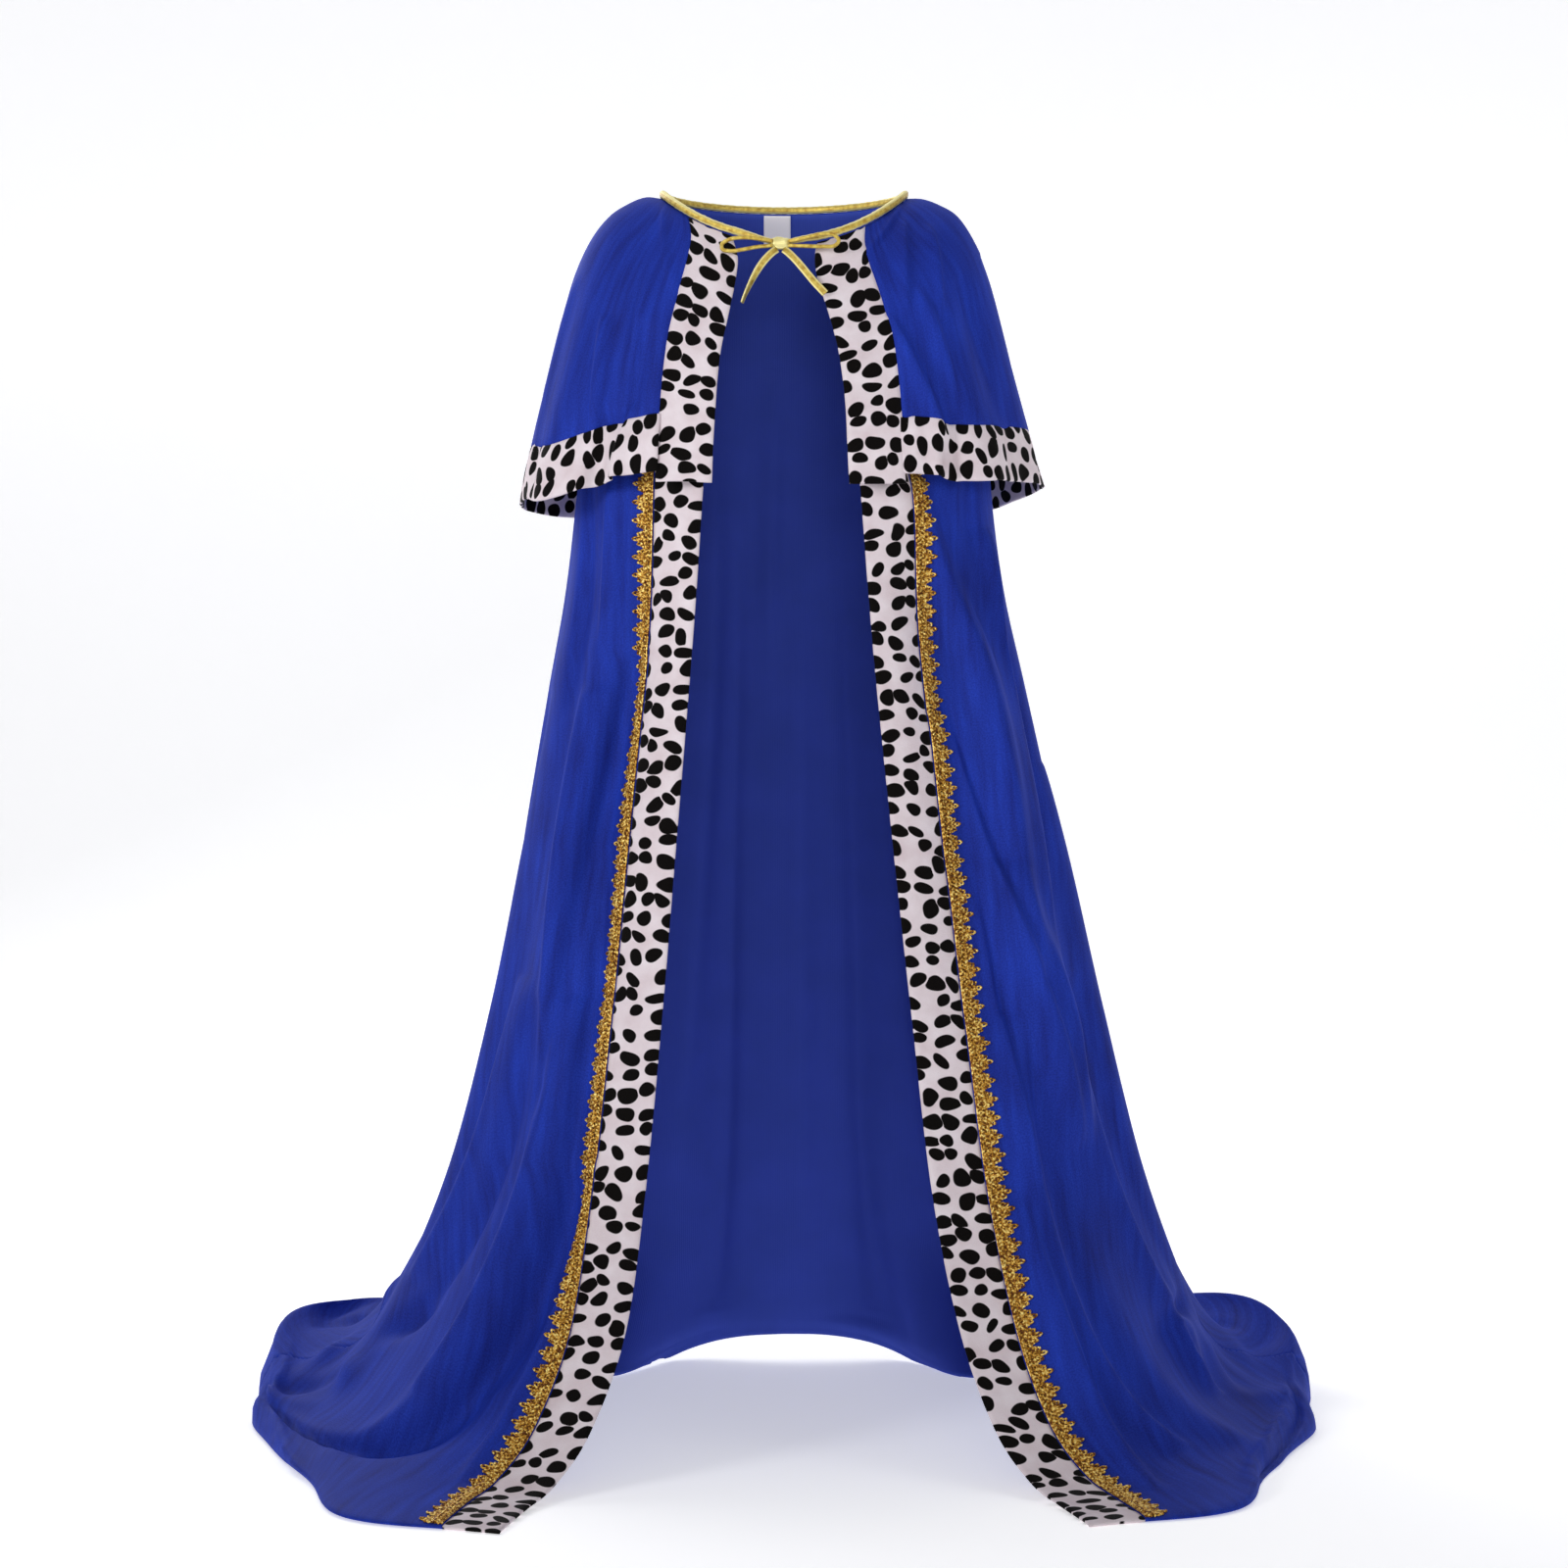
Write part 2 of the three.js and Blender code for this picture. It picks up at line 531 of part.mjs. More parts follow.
const capeletShares = spread(0, 1, CAPELET_COLUMNS);
const capeletNode = (t, share) => capelet.node(t, capeletColumn(t, share));
const hemRise = (share) => HEM_RISE.height * [share, 1 - share]
  .map((fromBand) => Math.exp(-((fromBand / HEM_RISE.width) ** 2)))
  .reduce((sum, bell) => sum + bell);
const seamRows = capeletShares.map((share) => ({
  body: rowAbove(share, hemRise(share) + HEM_BAND_HEIGHT + SEAM_GAP),
  band: rowAbove(share, hemRise(share) + HEM_BAND_HEIGHT),
  hem: rowAbove(share, hemRise(share)),
}));
const capeletGrid = spread(0, 1, CAPELET_BODY_ROWS).map((part) => capeletShares.map(
  (share, index) => capeletNode(seamRows[index].body * part, share),
));
const hemBandGrid = spread(0, 1, HEM_BAND_ROWS).map((part) => capeletShares.map(
  (share, index) => capeletNode(
    seamRows[index].band + (seamRows[index].hem - seamRows[index].band) * part,
    share,
  ),
));
// The front bands share the rows of the seams beside them.
function capeletBandGrid(isRight) {
  const seam = seamRows.at(isRight ? 0 : -1);
  const seamed = [...spread(0, seam.body, CAPELET_BODY_ROWS), ...spread(seam.band, seam.hem, HEM_BAND_ROWS)];
  const rows = [...seamed, capelet.last];
  return rows.map((t) => {
    const start = isRight ? 0 : capelet.section(t).total - CAPELET_BAND_WIDTH;
    return spread(start, start + CAPELET_BAND_WIDTH, 2).map((s) => capelet.node(t, s));
  });
}

// The binding follows the neck ring from one front edge round the back to the other, then on to the knot.
function neckHalf(side, edge) {
  const sinEdge = edge.x / NECK.half;
  const cosEdge = Math.sqrt(1 - sinEdge ** 2);
  const depth = (NECK.midY - edge.y) / cosEdge;
  return spread(0, Math.PI - Math.asin(sinEdge), BINDING.steps / 2).map((angle) => {
    const [sin, cos] = [Math.sin(angle), Math.abs(Math.cos(angle))];
    const behind = angle < Math.PI / 2;
    const y = behind ? NECK.midY + (NECK.backY - NECK.midY) * cos : NECK.midY - depth * cos;
    const change = heightChange(cos, cosEdge, behind, NECK.backH - NECK.sideH, edge.h - NECK.sideH);
    return heightPoint([side * NECK.half * sin, y, NECK.sideH + change]);
  });
}

function bindingBar() {
  const path = [
    ...BINDING_END_R.map(heightPoint).reverse(),
    ...neckHalf(-1, NECK_EDGE_R).reverse(),
    ...neckHalf(1, NECK_EDGE_L).slice(1),
    ...BINDING_END_L.map(heightPoint),
  ];
  const up = new THREE.Vector3(0, 0, 1);
  const taper = (index) => Math.min(1, 0.72 + 0.1 * Math.min(index, path.length - 1 - index));
  return bar(path.map((centre, index) => ({
    centre,
    width: BINDING.width * taper(index),
    height: BINDING.height * taper(index),
    up,
  })), BINDING.sides);
}

// The knot is a rounded lump where the two ends cross.
function knotMesh() {
  const geometry = new THREE.SphereGeometry(1, 14, 10);
  geometry.rotateX(Math.PI / 2);
  geometry.scale(KNOT.halfX, KNOT.halfY, KNOT.halfH);
  geometry.translate(KNOT.x, KNOT.y, KNOT.h - NECK_HEIGHT);
  const position = geometry.attributes.position;
  const vertices = spread(0, position.count - 1, position.count - 1).map(
    (at) => new THREE.Vector3().fromBufferAttribute(position, at),
  );
  const triangles = [];
  const index = geometry.index.array;
  for (let at = 0; at < index.length; at += 3) triangles.push([index[at], index[at + 1], index[at + 2]]);
  return { vertices, triangles };
}

function loopBar(points, steps) {
  const curve = new THREE.CatmullRomCurve3(points.map(heightPoint), false, 'centripetal');
  const facing = new THREE.Vector3(0, -1, 0);
  return bar(curve.getPoints(steps).map((centre) => ({
    centre, width: LOOP_TAPE.width, height: LOOP_TAPE.depth, up: facing,
  })), 8);
}

// A tail is flat tape. The R tail turns edge-on towards its end, so it is narrower there from the front.
function tailBar(points, turns) {
  const curve = new THREE.CatmullRomCurve3(points.map(heightPoint), false, 'centripetal');
  const steps = 14;
  return bar(curve.getPoints(steps).map((centre, index) => {
    const turn = turns * smooth(index / steps);
    const up = new THREE.Vector3(Math.sin(turn), -Math.cos(turn), 0);
    return { centre, width: TAIL_TAPE.width, height: TAIL_TAPE.thickness, up };
  }), 8);
}

// The label lies on the facets of the back's inner face, just under the binding.
function labelGrid() {
  const back = grids.cape_back;
  const rowLines = spread(0, 3, 60);
  const reach = runningLengths(rowLines.map((t) => cape.at(t, cape.section(t).middle)));
  return spread(LABEL.top, LABEL.top + LABEL.length, 8).map((distance) => {
    const t = rowLines[reach.findIndex((length) => length >= distance)];
    const row = capeRows.findLastIndex((value) => value <= t);
    const v = (t - capeRows[row]) / (capeRows[row + 1] - capeRows[row]);
    const { seamR, seamL } = seams(t);
    return spread(LABEL.centre - LABEL.width / 2, LABEL.centre + LABEL.width / 2, 4).map((x) => {
      const across = ((cape.section(t).middle + x - seamR) / (seamL - seamR)) * BACK_COLUMNS;
      const column = Math.floor(across);
      const { point, normal } = onFacet(back, row, column, across - column, v, -CLOTH);
      return { point: point.addScaledVector(normal, -LABEL.clearance), normal };
    });
  });
}

const object = new THREE.Group();
const add = (name, shape, look) => object.add(meshOf(name, shape.vertices, shape.triangles, ...look));
const VELVET = [COLOURS.velvet, 0.7];
const SPOTTED = [COLOURS.plush, 0.9];
const GOLD_LACE = [COLOURS.lace, 0.45, 0.6];
const GOLD_BINDING = [COLOURS.binding, 0.35, 0.6];

add('cape_back', wall(grids.cape_back, CLOTH), VELVET);
add('cape_front_right', wall(grids.cape_front_right, CLOTH), VELVET);
add('cape_front_left', wall(grids.cape_front_left, CLOTH), VELVET);
add('front_band_right', wall(grids.front_band_right, PLUSH), SPOTTED);
add('front_band_left', wall(grids.front_band_left, PLUSH), SPOTTED);
const laceRaise = LACE.clearance + LACE.thickness;
add('gold_lace_right', wall(laceGrid('cape_front_right', true), LACE.thickness, laceRaise), GOLD_LACE);
add('gold_lace_left', wall(laceGrid('cape_front_left', false), LACE.thickness, laceRaise), GOLD_LACE);
add('capelet', wall(capeletGrid, CLOTH), VELVET);
add('capelet_hem_band', wall(hemBandGrid, PLUSH), SPOTTED);
add('capelet_front_band_right', wall(capeletBandGrid(true), PLUSH), SPOTTED);
add('capelet_front_band_left', wall(capeletBandGrid(false), PLUSH), SPOTTED);
add('neck_binding', bindingBar(), GOLD_BINDING);
add('tie_knot', knotMesh(), GOLD_BINDING);
add('tie_loop_right', loopBar(LOOP_R, 26), GOLD_BINDING);
add('tie_loop_left', loopBar(LOOP_L, 26), GOLD_BINDING);
add('tie_tail_right', tailBar(TAIL_R, 0.9), GOLD_BINDING);
add('tie_tail_left', tailBar(TAIL_L, 0), GOLD_BINDING);
add('label', wall(labelGrid(), LABEL.thickness), [COLOURS.label, 0.5]);

export default object;
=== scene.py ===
import bpy
import numpy as np
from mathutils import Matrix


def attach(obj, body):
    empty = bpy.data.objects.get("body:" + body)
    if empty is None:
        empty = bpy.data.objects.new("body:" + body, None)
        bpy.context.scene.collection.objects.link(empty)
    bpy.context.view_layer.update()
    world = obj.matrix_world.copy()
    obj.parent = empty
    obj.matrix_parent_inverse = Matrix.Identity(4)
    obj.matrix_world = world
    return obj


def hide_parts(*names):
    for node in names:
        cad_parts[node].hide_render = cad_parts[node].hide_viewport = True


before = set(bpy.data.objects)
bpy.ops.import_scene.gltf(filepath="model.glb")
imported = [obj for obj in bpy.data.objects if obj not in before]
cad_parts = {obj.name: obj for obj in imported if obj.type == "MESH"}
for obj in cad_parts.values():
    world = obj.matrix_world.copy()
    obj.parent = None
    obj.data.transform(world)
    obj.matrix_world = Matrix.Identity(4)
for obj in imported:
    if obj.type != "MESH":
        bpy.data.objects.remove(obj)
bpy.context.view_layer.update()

# The studio: a sheet of opal acrylic that lies flat as a floor and curves up into a plain wall, lit by large
# soft lamps. The camera stands level, three metres in front of the neck and a little above half the cape's
# height.
MM = 0.001
NECK_HEIGHT = 1113.0  # from the floor to the middle of the neck opening, where every piece is measured from
CAMERA_PLACE = (0.0, -3.0, -0.473)
CAMERA_LENS = 75.0  # on a 36 mm wide picture
CAMERA_SHIFT = -0.048  # the horizon lies 77 pixels above the middle of a 1600 pixel picture

camera_data = bpy.data.cameras.new("studio_camera")
camera_data.lens = CAMERA_LENS
camera_data.sensor_width = 36.0
camera_data.shift_y = CAMERA_SHIFT
camera = bpy.data.objects.new("studio_camera", camera_data)
camera.location = CAMERA_PLACE
camera.rotation_euler = (np.pi / 2, 0.0, 0.0)
bpy.context.scene.collection.objects.link(camera)
bpy.context.scene.camera = camera


def linear(code):
    """An sRGB hex colour as linear red, green, blue and alpha."""
    channels = np.array([int(code[at:at + 2], 16) for at in (1, 3, 5)]) / 255.0
    value = np.where(channels <= 0.04045, channels / 12.92, ((channels + 0.055) / 1.055) ** 2.4)
    return (*value.tolist(), 1.0)


def add(tree, kind, inputs, **settings):
    """Adds one shader node. settings are the node's own. inputs gives its sockets a value, another node's
    output, or another node, which stands for the first of its outputs that is in use."""
    made = tree.nodes.new(kind)
    for name, value in settings.items():
        setattr(made, name, value)
    for socket, value in inputs.items():
        if isinstance(value, bpy.types.Node):
            value = next(output for output in value.outputs if output.enabled)
        if isinstance(value, bpy.types.NodeSocket):
            tree.links.new(value, made.inputs[socket])
        else:
            made.inputs[socket].default_value = value
    return made


def finish_named(name):
    """An empty material of that name, and its node tree."""
    made = bpy.data.materials.new(name)
    made.use_nodes = True
    made.node_tree.nodes.clear()
    return made, made.node_tree


def mesh_piece(name, vertices, quads, materials, uv=None, material_index=None):
    """A smooth mesh object at the origin, made from whole arrays: vertices in millimetres with heights from
    the neck, faces of four corners, and a map in millimetres on the cloth."""
    mesh = bpy.data.meshes.new(name)
    mesh.vertices.add(len(vertices))
    mesh.vertices.foreach_set("co", (vertices * MM).astype(np.float32).ravel())
    mesh.loops.add(quads.size)
    mesh.loops.foreach_set("vertex_index", quads.astype(np.int32).ravel())
    mesh.polygons.add(len(quads))
    mesh.polygons.foreach_set("loop_start", np.arange(0, quads.size, 4, dtype=np.int32))
    if material_index is not None:
        mesh.polygons.foreach_set("material_index", material_index.astype(np.int32))
    mesh.update(calc_edges=True)
    mesh.shade_smooth()
    if uv is not None:
        layer = mesh.uv_layers.new(name="cloth_mm")
        layer.data.foreach_set("uv", uv[quads.ravel()].astype(np.float32).ravel())
    for material in materials:
        mesh.materials.append(material)
    made = bpy.data.objects.new(name, mesh)
    bpy.context.scene.collection.objects.link(made)
    return made


# The sweep is one sheet: flat floor, a quarter round at its back, then the wall. Opal acrylic that is lit
# from behind is white and glows evenly, so it gives some light of its own.
SWEEP_HALF_WIDTH = 9000.0
SWEEP_FRONT = -5200.0
SWEEP_BACK = 2600.0
SWEEP_RADIUS = 1500.0
SWEEP_TOP = 6000.0

acrylic, tree = finish_named("lit_opal_acrylic")
shader = add(tree, "ShaderNodeBsdfPrincipled", {
    "Base Color": linear("#F6F6F7"), "Roughness": 0.9, "Specular IOR Level": 0.1,
    "Emission Color": linear("#F6F6F7"), "Emission Strength": 0.48})
add(tree, "ShaderNodeOutputMaterial", {"Surface": shader})
turn = np.linspace(0.0, np.pi / 2, 25)
sweep_y = np.concatenate([
    [SWEEP_FRONT], SWEEP_BACK + SWEEP_RADIUS * np.sin(turn), [SWEEP_BACK + SWEEP_RADIUS]])
sweep_z = np.concatenate([[0.0], SWEEP_RADIUS * (1 - np.cos(turn)), [SWEEP_TOP]]) - NECK_HEIGHT
sweep_points = np.stack([
    np.repeat([-SWEEP_HALF_WIDTH, SWEEP_HALF_WIDTH], len(sweep_y)),
    np.tile(sweep_y, 2),
    np.tile(sweep_z, 2),
], axis=1)
first = np.arange(len(sweep_y) - 1)
sweep_quads = np.stack([first, first + len(sweep_y), first + len(sweep_y) + 1, first + 1], axis=1)
sweep = mesh_piece("studio_sweep", sweep_points, sweep_quads, [acrylic])

# Place, size in metres, power in watts and spread in radians of each soft lamp. The front ones have a grid
# that keeps their light to the cape's upper part.
LAMPS = [
    ("key_lamp", (-3.1, -2.6, 0.6), 1.1, 5.4, 0.85),
    ("fill_lamp", (2.9, -2.4, 0.4), 1.4, 1.8, 0.85),
    ("front_lamp", (0.25, -4.8, 0.3), 1.4, 2.3, 0.7),
    ("top_lamp", (0.2, 0.9, 2.6), 2.2, 20.0, 3.14),
    ("back_lamp", (-1.6, 2.2, 1.2), 1.8, 28.0, 3.14),
]
LAMP_AIM = np.array([0.0, 0.0, -0.2])
for name, place, size, power, spread in LAMPS:
    lamp_data = bpy.data.lights.new(name, "AREA")
    lamp_data.shape = "SQUARE"
    lamp_data.size = size
    lamp_data.energy = power
    lamp_data.spread = spread
    lamp = bpy.data.objects.new(name, lamp_data)
    lamp.location = place
    away = np.array(place) - LAMP_AIM
    lamp.rotation_euler = (np.arccos(away[2] / np.linalg.norm(away)), 0.0, np.arctan2(away[0], -away[1]))
    bpy.context.scene.collection.objects.link(lamp)
world = bpy.data.worlds.new("studio_light")
world.use_nodes = True
world.node_tree.nodes["Background"].inputs["Color"].default_value = linear("#F5F6FA")
world.node_tree.nodes["Background"].inputs["Strength"].default_value = 0.3
bpy.context.scene.world = world
bpy.context.scene.view_settings.view_transform = "Standard"

# The free ends of the neck tie: flat gold tape, folded lengthwise and stitched near its edge, cut square.
# They leave the knot and hang down in front of the opening; the wearer's right one turns edge-on towards
# its end.
TAIL_WIDTH = 6.8
TAIL_THICKNESS = 1.8
TAIL_RIGHT = [
    [-6.5, -98.6, 1048.1], [-10.2, -101, 1045.2], [-15.8, -103.2, 1039.5], [-21.5, -104, 1032],
    [-26.5, -104.6, 1023.5], [-31, -105, 1014.5], [-34.6, -105.4, 1006.5], [-37.2, -105.6, 999.8],
]
TAIL_LEFT = [
    [0, -98.6, 1048.1], [4.2, -101.2, 1044.4], [10.6, -103.6, 1037.8], [16.2, -104.8, 1031.2],
    [22, -106, 1024], [27.4, -107.4, 1017.4], [32.4, -109.2, 1011.8], [36.4, -111, 1007.4],
]
TAIL_RIGHT_TURN = 1.3  # radians from flat-on to its end
TAIL_POINTS, TAIL_SIDES = 40, 16  # along a tail and round it
TAIL_GROOVE = 0.3  # how much lower the middle of its folded face lies, over half its thickness
GROOVE_WIDE = 0.45  # how wide that groove is, over half the tape
TURNED_OVER = [0, 3, 2, 1]  # the corners of a face in the order that points it the other way


def from_floor(points):
    """Points given by their height above the floor, as points with heights from the neck."""
    return np.asarray(points, float) - [0.0, 0.0, NECK_HEIGHT]


def running(points):
    """The length along each line of points so far, from nought at its first point."""
    steps = np.linalg.norm(np.diff(points, axis=-2), axis=-1)
    return np.concatenate([np.zeros((*steps.shape[:-1], 1)), np.cumsum(steps, axis=-1)], axis=-1)


def smooth_line(points, count):
    """A line through the points: between two of them a cubic whose slopes there are the line's own, timed by
    the square root of the distance between them."""
    time = np.concatenate([[0.0], np.cumsum(np.linalg.norm(np.diff(points, axis=0), axis=1) ** 0.5)])
    slope = np.gradient(points, time, axis=0)
    wanted = np.linspace(0.0, time[-1], count)
    at = np.clip(np.searchsorted(time, wanted, side="right") - 1, 0, len(points) - 2)
    gap = (time[at + 1] - time[at])[:, None]
    f = ((wanted - time[at]) / gap[:, 0])[:, None]
    return (points[at] * (2 * f**3 - 3 * f**2 + 1) + points[at + 1] * (3 * f**2 - 2 * f**3)
            + gap * slope[at] * (f**3 - 2 * f**2 + f) + gap * slope[at + 1] * (f**3 - f**2))


def tube_faces(rings, sides):
    """The faces of a closed tube of rings of points: walls, and at each end a cap of squares round a pole.
    The two poles come after the rings."""
    row, side = np.meshgrid(np.arange(rings - 1), np.arange(sides), indexing="ij")
    a, b = row * sides + side, row * sides + (side + 1) % sides
    walls = np.stack([a, a + sides, b + sides, b], axis=-1).reshape(-1, 4)
    side = np.arange(0, sides, 2)
    first_cap = np.stack([np.full_like(side, rings * sides), side, side + 1, (side + 2) % sides], axis=1)
    last_cap = first_cap[:, TURNED_OVER] + (rings - 1) * sides
    last_cap[:, 0] = rings * sides + 1
    return np.concatenate([walls, first_cap, last_cap])


def tape_along(line, width, height, up, sides, groove=0.0, square=0.6, broad="width"):
    """A closed tape carried along a line: round each point a squared-off ring of the given width and height,
    (cos a)^square sideways and (sin a)^square upright, with a groove down the middle of its upper and lower
    face. Its map gives the place in mm across its broad face, whose measure broad names, and the length along
    the tape."""
    along = np.gradient(line, axis=0)
    along /= np.linalg.norm(along, axis=1, keepdims=True)
    sideways = np.cross(along, up)
    sideways /= np.linalg.norm(sideways, axis=1, keepdims=True)
    upright = np.cross(sideways, along)
    angle = 2 * np.pi * (np.arange(sides) + 0.5) / sides
    cos, sin = np.cos(angle), np.sin(angle)
    across = np.sign(cos) * np.abs(cos) ** square
    over = np.sign(sin) * np.abs(sin) ** square * (1 - groove * np.exp(-(across / GROOVE_WIDE) ** 2))
    ring = (line[:, None]
            + sideways[:, None] * (across * np.asarray(width)[..., None] / 2)[..., None]
            + upright[:, None] * (over * np.asarray(height)[..., None] / 2)[..., None])
    vertices = np.concatenate([ring.reshape(-1, 3), [line[0], line[-1]]])
    length = running(line)
    on_face = across * np.mean(width) / 2 if broad == "width" else over * np.mean(height) / 2
    uv = np.stack([np.tile(on_face, len(line)), np.repeat(length, sides)], axis=1)
    uv = np.concatenate([uv, [[0.0, 0.0], [0.0, length[-1]]]])
    return vertices, tube_faces(len(line), sides), uv


# Gold lame tape: a woven tape of thin metallised strips. It is bright and yellow with fine cross ribs. Where
# it catches the light and where it dips are painted into its colour: random patches of pale painted highlight
# and brownish painted shade, and a pale painted highlight along both folded edges.
TAPE_RIB = 0.9  # spacing of the ribs in mm, coarser than the real 0.4 so that they show
RIBS_A_UNIT = 3.14  # that the wave pattern draws on one unit, nearly
# The folded edges' pale gold is a painted highlight, which starts and is full at these distances.
TAPE_HIGHLIGHT_FROM, TAPE_HIGHLIGHT_TO = 1.5, 2.3  # mm from the middle, where the pale folded edge begins and is full
gold_tape, tree = finish_named("gold_lame_tape")
place = add(tree, "ShaderNodeUVMap", {}, uv_map="cloth_mm")
# Random patches of pale painted highlight and brownish painted shade over the tape.
glint_and_shade_noise = add(tree, "ShaderNodeTexNoise", {"Vector": place, "Scale": 0.22, "Detail": 3.0})
glint_tone = add(tree, "ShaderNodeValToRGB", {"Fac": glint_and_shade_noise})
glint_tone.color_ramp.elements[0].position, glint_tone.color_ramp.elements[0].color = 0.34, linear("#AD872B")
glint_tone.color_ramp.elements[1].position, glint_tone.color_ramp.elements[1].color = 0.6, linear("#D6BD58")
side = add(tree, "ShaderNodeSeparateXYZ", {"Vector": place})
from_middle = add(tree, "ShaderNodeMath", {0: side.outputs["X"]}, operation="ABSOLUTE")
# Painted highlight along both folded edges of the tape.
edge_highlight = add(tree, "ShaderNodeMapRange", {
    "Value": from_middle, "From Min": TAPE_HIGHLIGHT_FROM, "From Max": TAPE_HIGHLIGHT_TO})
gold_and_edge_highlight = add(tree, "ShaderNodeMix", {"Factor": edge_highlight, "A": glint_tone, "B": linear("#EFE39A")}, data_type="RGBA")
ribs = add(tree, "ShaderNodeTexWave", {
    "Vector": place, "Scale": 1 / TAPE_RIB / RIBS_A_UNIT, "Distortion": 1.5}, bands_direction="Y")
relief = add(tree, "ShaderNodeBump", {"Height": ribs.outputs["Fac"], "Distance": 0.0002, "Strength": 0.5})
shader = add(tree, "ShaderNodeBsdfPrincipled", {
    "Base Color": gold_and_edge_highlight, "Normal": relief, "Metallic": 0.45, "Roughness": 0.38})
add(tree, "ShaderNodeOutputMaterial", {"Surface": shader})


def dress(made):
    """Puts a piece in place of the part's node that its name gives after piece_, moving with the root."""
    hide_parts(made.name.removeprefix("piece_"))
    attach(made, "root")
    return made


def gold_piece(name, shape):
    """A piece of the gold tape, from its vertices, faces and map."""
    vertices, quads, uv = shape
    return dress(mesh_piece(name, vertices, quads, [gold_tape], uv))


def hang_tail(name, points, turns):
    """One free end of the tie, as a tape whose broad face turns away from the front by so many radians,
    slowly at first and at last."""
    line = smooth_line(from_floor(points), TAIL_POINTS)
    f = np.linspace(0, 1, TAIL_POINTS)
    turn = turns * f**2 * (3 - 2 * f)
    up = np.stack([np.sin(turn), -np.cos(turn), np.zeros(TAIL_POINTS)], axis=1)
    tail = gold_piece(name, tape_along(line, TAIL_WIDTH, TAIL_THICKNESS, up, TAIL_SIDES, TAIL_GROOVE))


hang_tail("piece_tie_tail_right", TAIL_RIGHT, TAIL_RIGHT_TURN)
hang_tail("piece_tie_tail_left", TAIL_LEFT, 0.0)

# The long cape's cloth: velvet cut as a back and two fronts, joined at the sides and gathered a little at the
# neck. It stands open round a hollow, spreads to the floor and trails there in two wide lobes.
CLOTH = 2.0  # thickness of the velvet
HALF_STEPS = 240  # points along each half of a section
FRONT_FALL = 1.7  # how late the front sections drop from the side's height to the edge's
FLOOR_CLEARANCE = 0.8  # mm that the cloth keeps off the floor before its creases
CREASE_CLEARANCE = 0.6  # and after them
# Half width R, half width L, side height R, side height L, back's depth and height, depth of the widest
# place, squareness in front and behind.
CAPE_SECTIONS = [
    [109.2, 109.2, 1107.0, 1107.0, 73.2, 1104.7, -5, 2.0, 2.0],
    [110.6, 110.6, 1103.4, 1103.4, 74.8, 1101.0, -5, 2.0, 2.0],
    [135, 135, 1096, 1096, 84, 1086, -5, 2.05, 2.05],
    [155, 155, 1082, 1082, 92, 1065, -5, 2.1, 2.1],
    [170, 170, 1058, 1058, 98, 1036, -4, 2.15, 2.15],
    [181, 181, 1010, 1010, 104, 990, -3, 2.2, 2.2],
    [186, 186, 940, 940, 110, 920, -2, 2.2, 2.2],
    [189, 190, 840, 840, 118, 838, -2, 2.2, 2.2],
    [196, 201, 750, 750, 126, 750, -3, 2.2, 2.2],
    [210, 219, 661, 661, 135, 661, -5, 2.2, 2.2],
    [235, 248, 517, 517, 153, 517, -8, 2.2, 2.2],
    [260, 275, 373, 373, 170, 373, -12, 2.2, 2.3],
    [295, 310, 229, 229, 188, 229, -10, 2.2, 2.4],
    [341, 354, 121, 121, 203, 125, 10, 2.3, 2.6],
    [392, 398, 48, 48, 210, 78, 40, 2.4, 2.9],
    [440, 444, 20, 20, 213, 55, 62, 2.3, 3.1],
    [463, 464, 16, 16, 215, 42, 70, 2.25, 3.2],
    [475, 475, 12, 12, 217, 34, 72, 2.2, 3.2],
    [478, 478, 3, 3, 218, 27, 72, 2.2, 3.2],
]
# Distance from the middle, depth and height of each front edge, row by row with the sections.
CAPE_EDGE_R = [
    [49, -80.5, 1062.2], [50, -82, 1058.5], [50, -88, 1036], [52, -95, 1012], [56, -102, 990],
    [62, -109, 955], [68, -114, 905], [73, -119, 825], [78, -127, 745], [84, -139, 661],
    [95, -168, 517], [106, -195, 373], [119, -222, 229], [133, -280, 121], [159, -330, 50],
    [185, -363, 15], [203, -398, 6], [217, -456, 4], [219, -467, 2.8],
]
CAPE_EDGE_L = [
    [36, -83.5, 1056], [37, -85, 1052.2], [38, -90, 1033], [41, -97, 1012], [46, -103, 990],
    [54, -110, 955], [62, -115, 905], [69, -119, 825], [75, -127, 745], [82, -139, 661],
    [96, -168, 517], [111, -195, 373], [127, -222, 229], [148, -280, 121], [174, -325, 50],
    [200, -355, 15], [219, -388, 6], [235, -436, 4], [237, -446, 2.8],
]
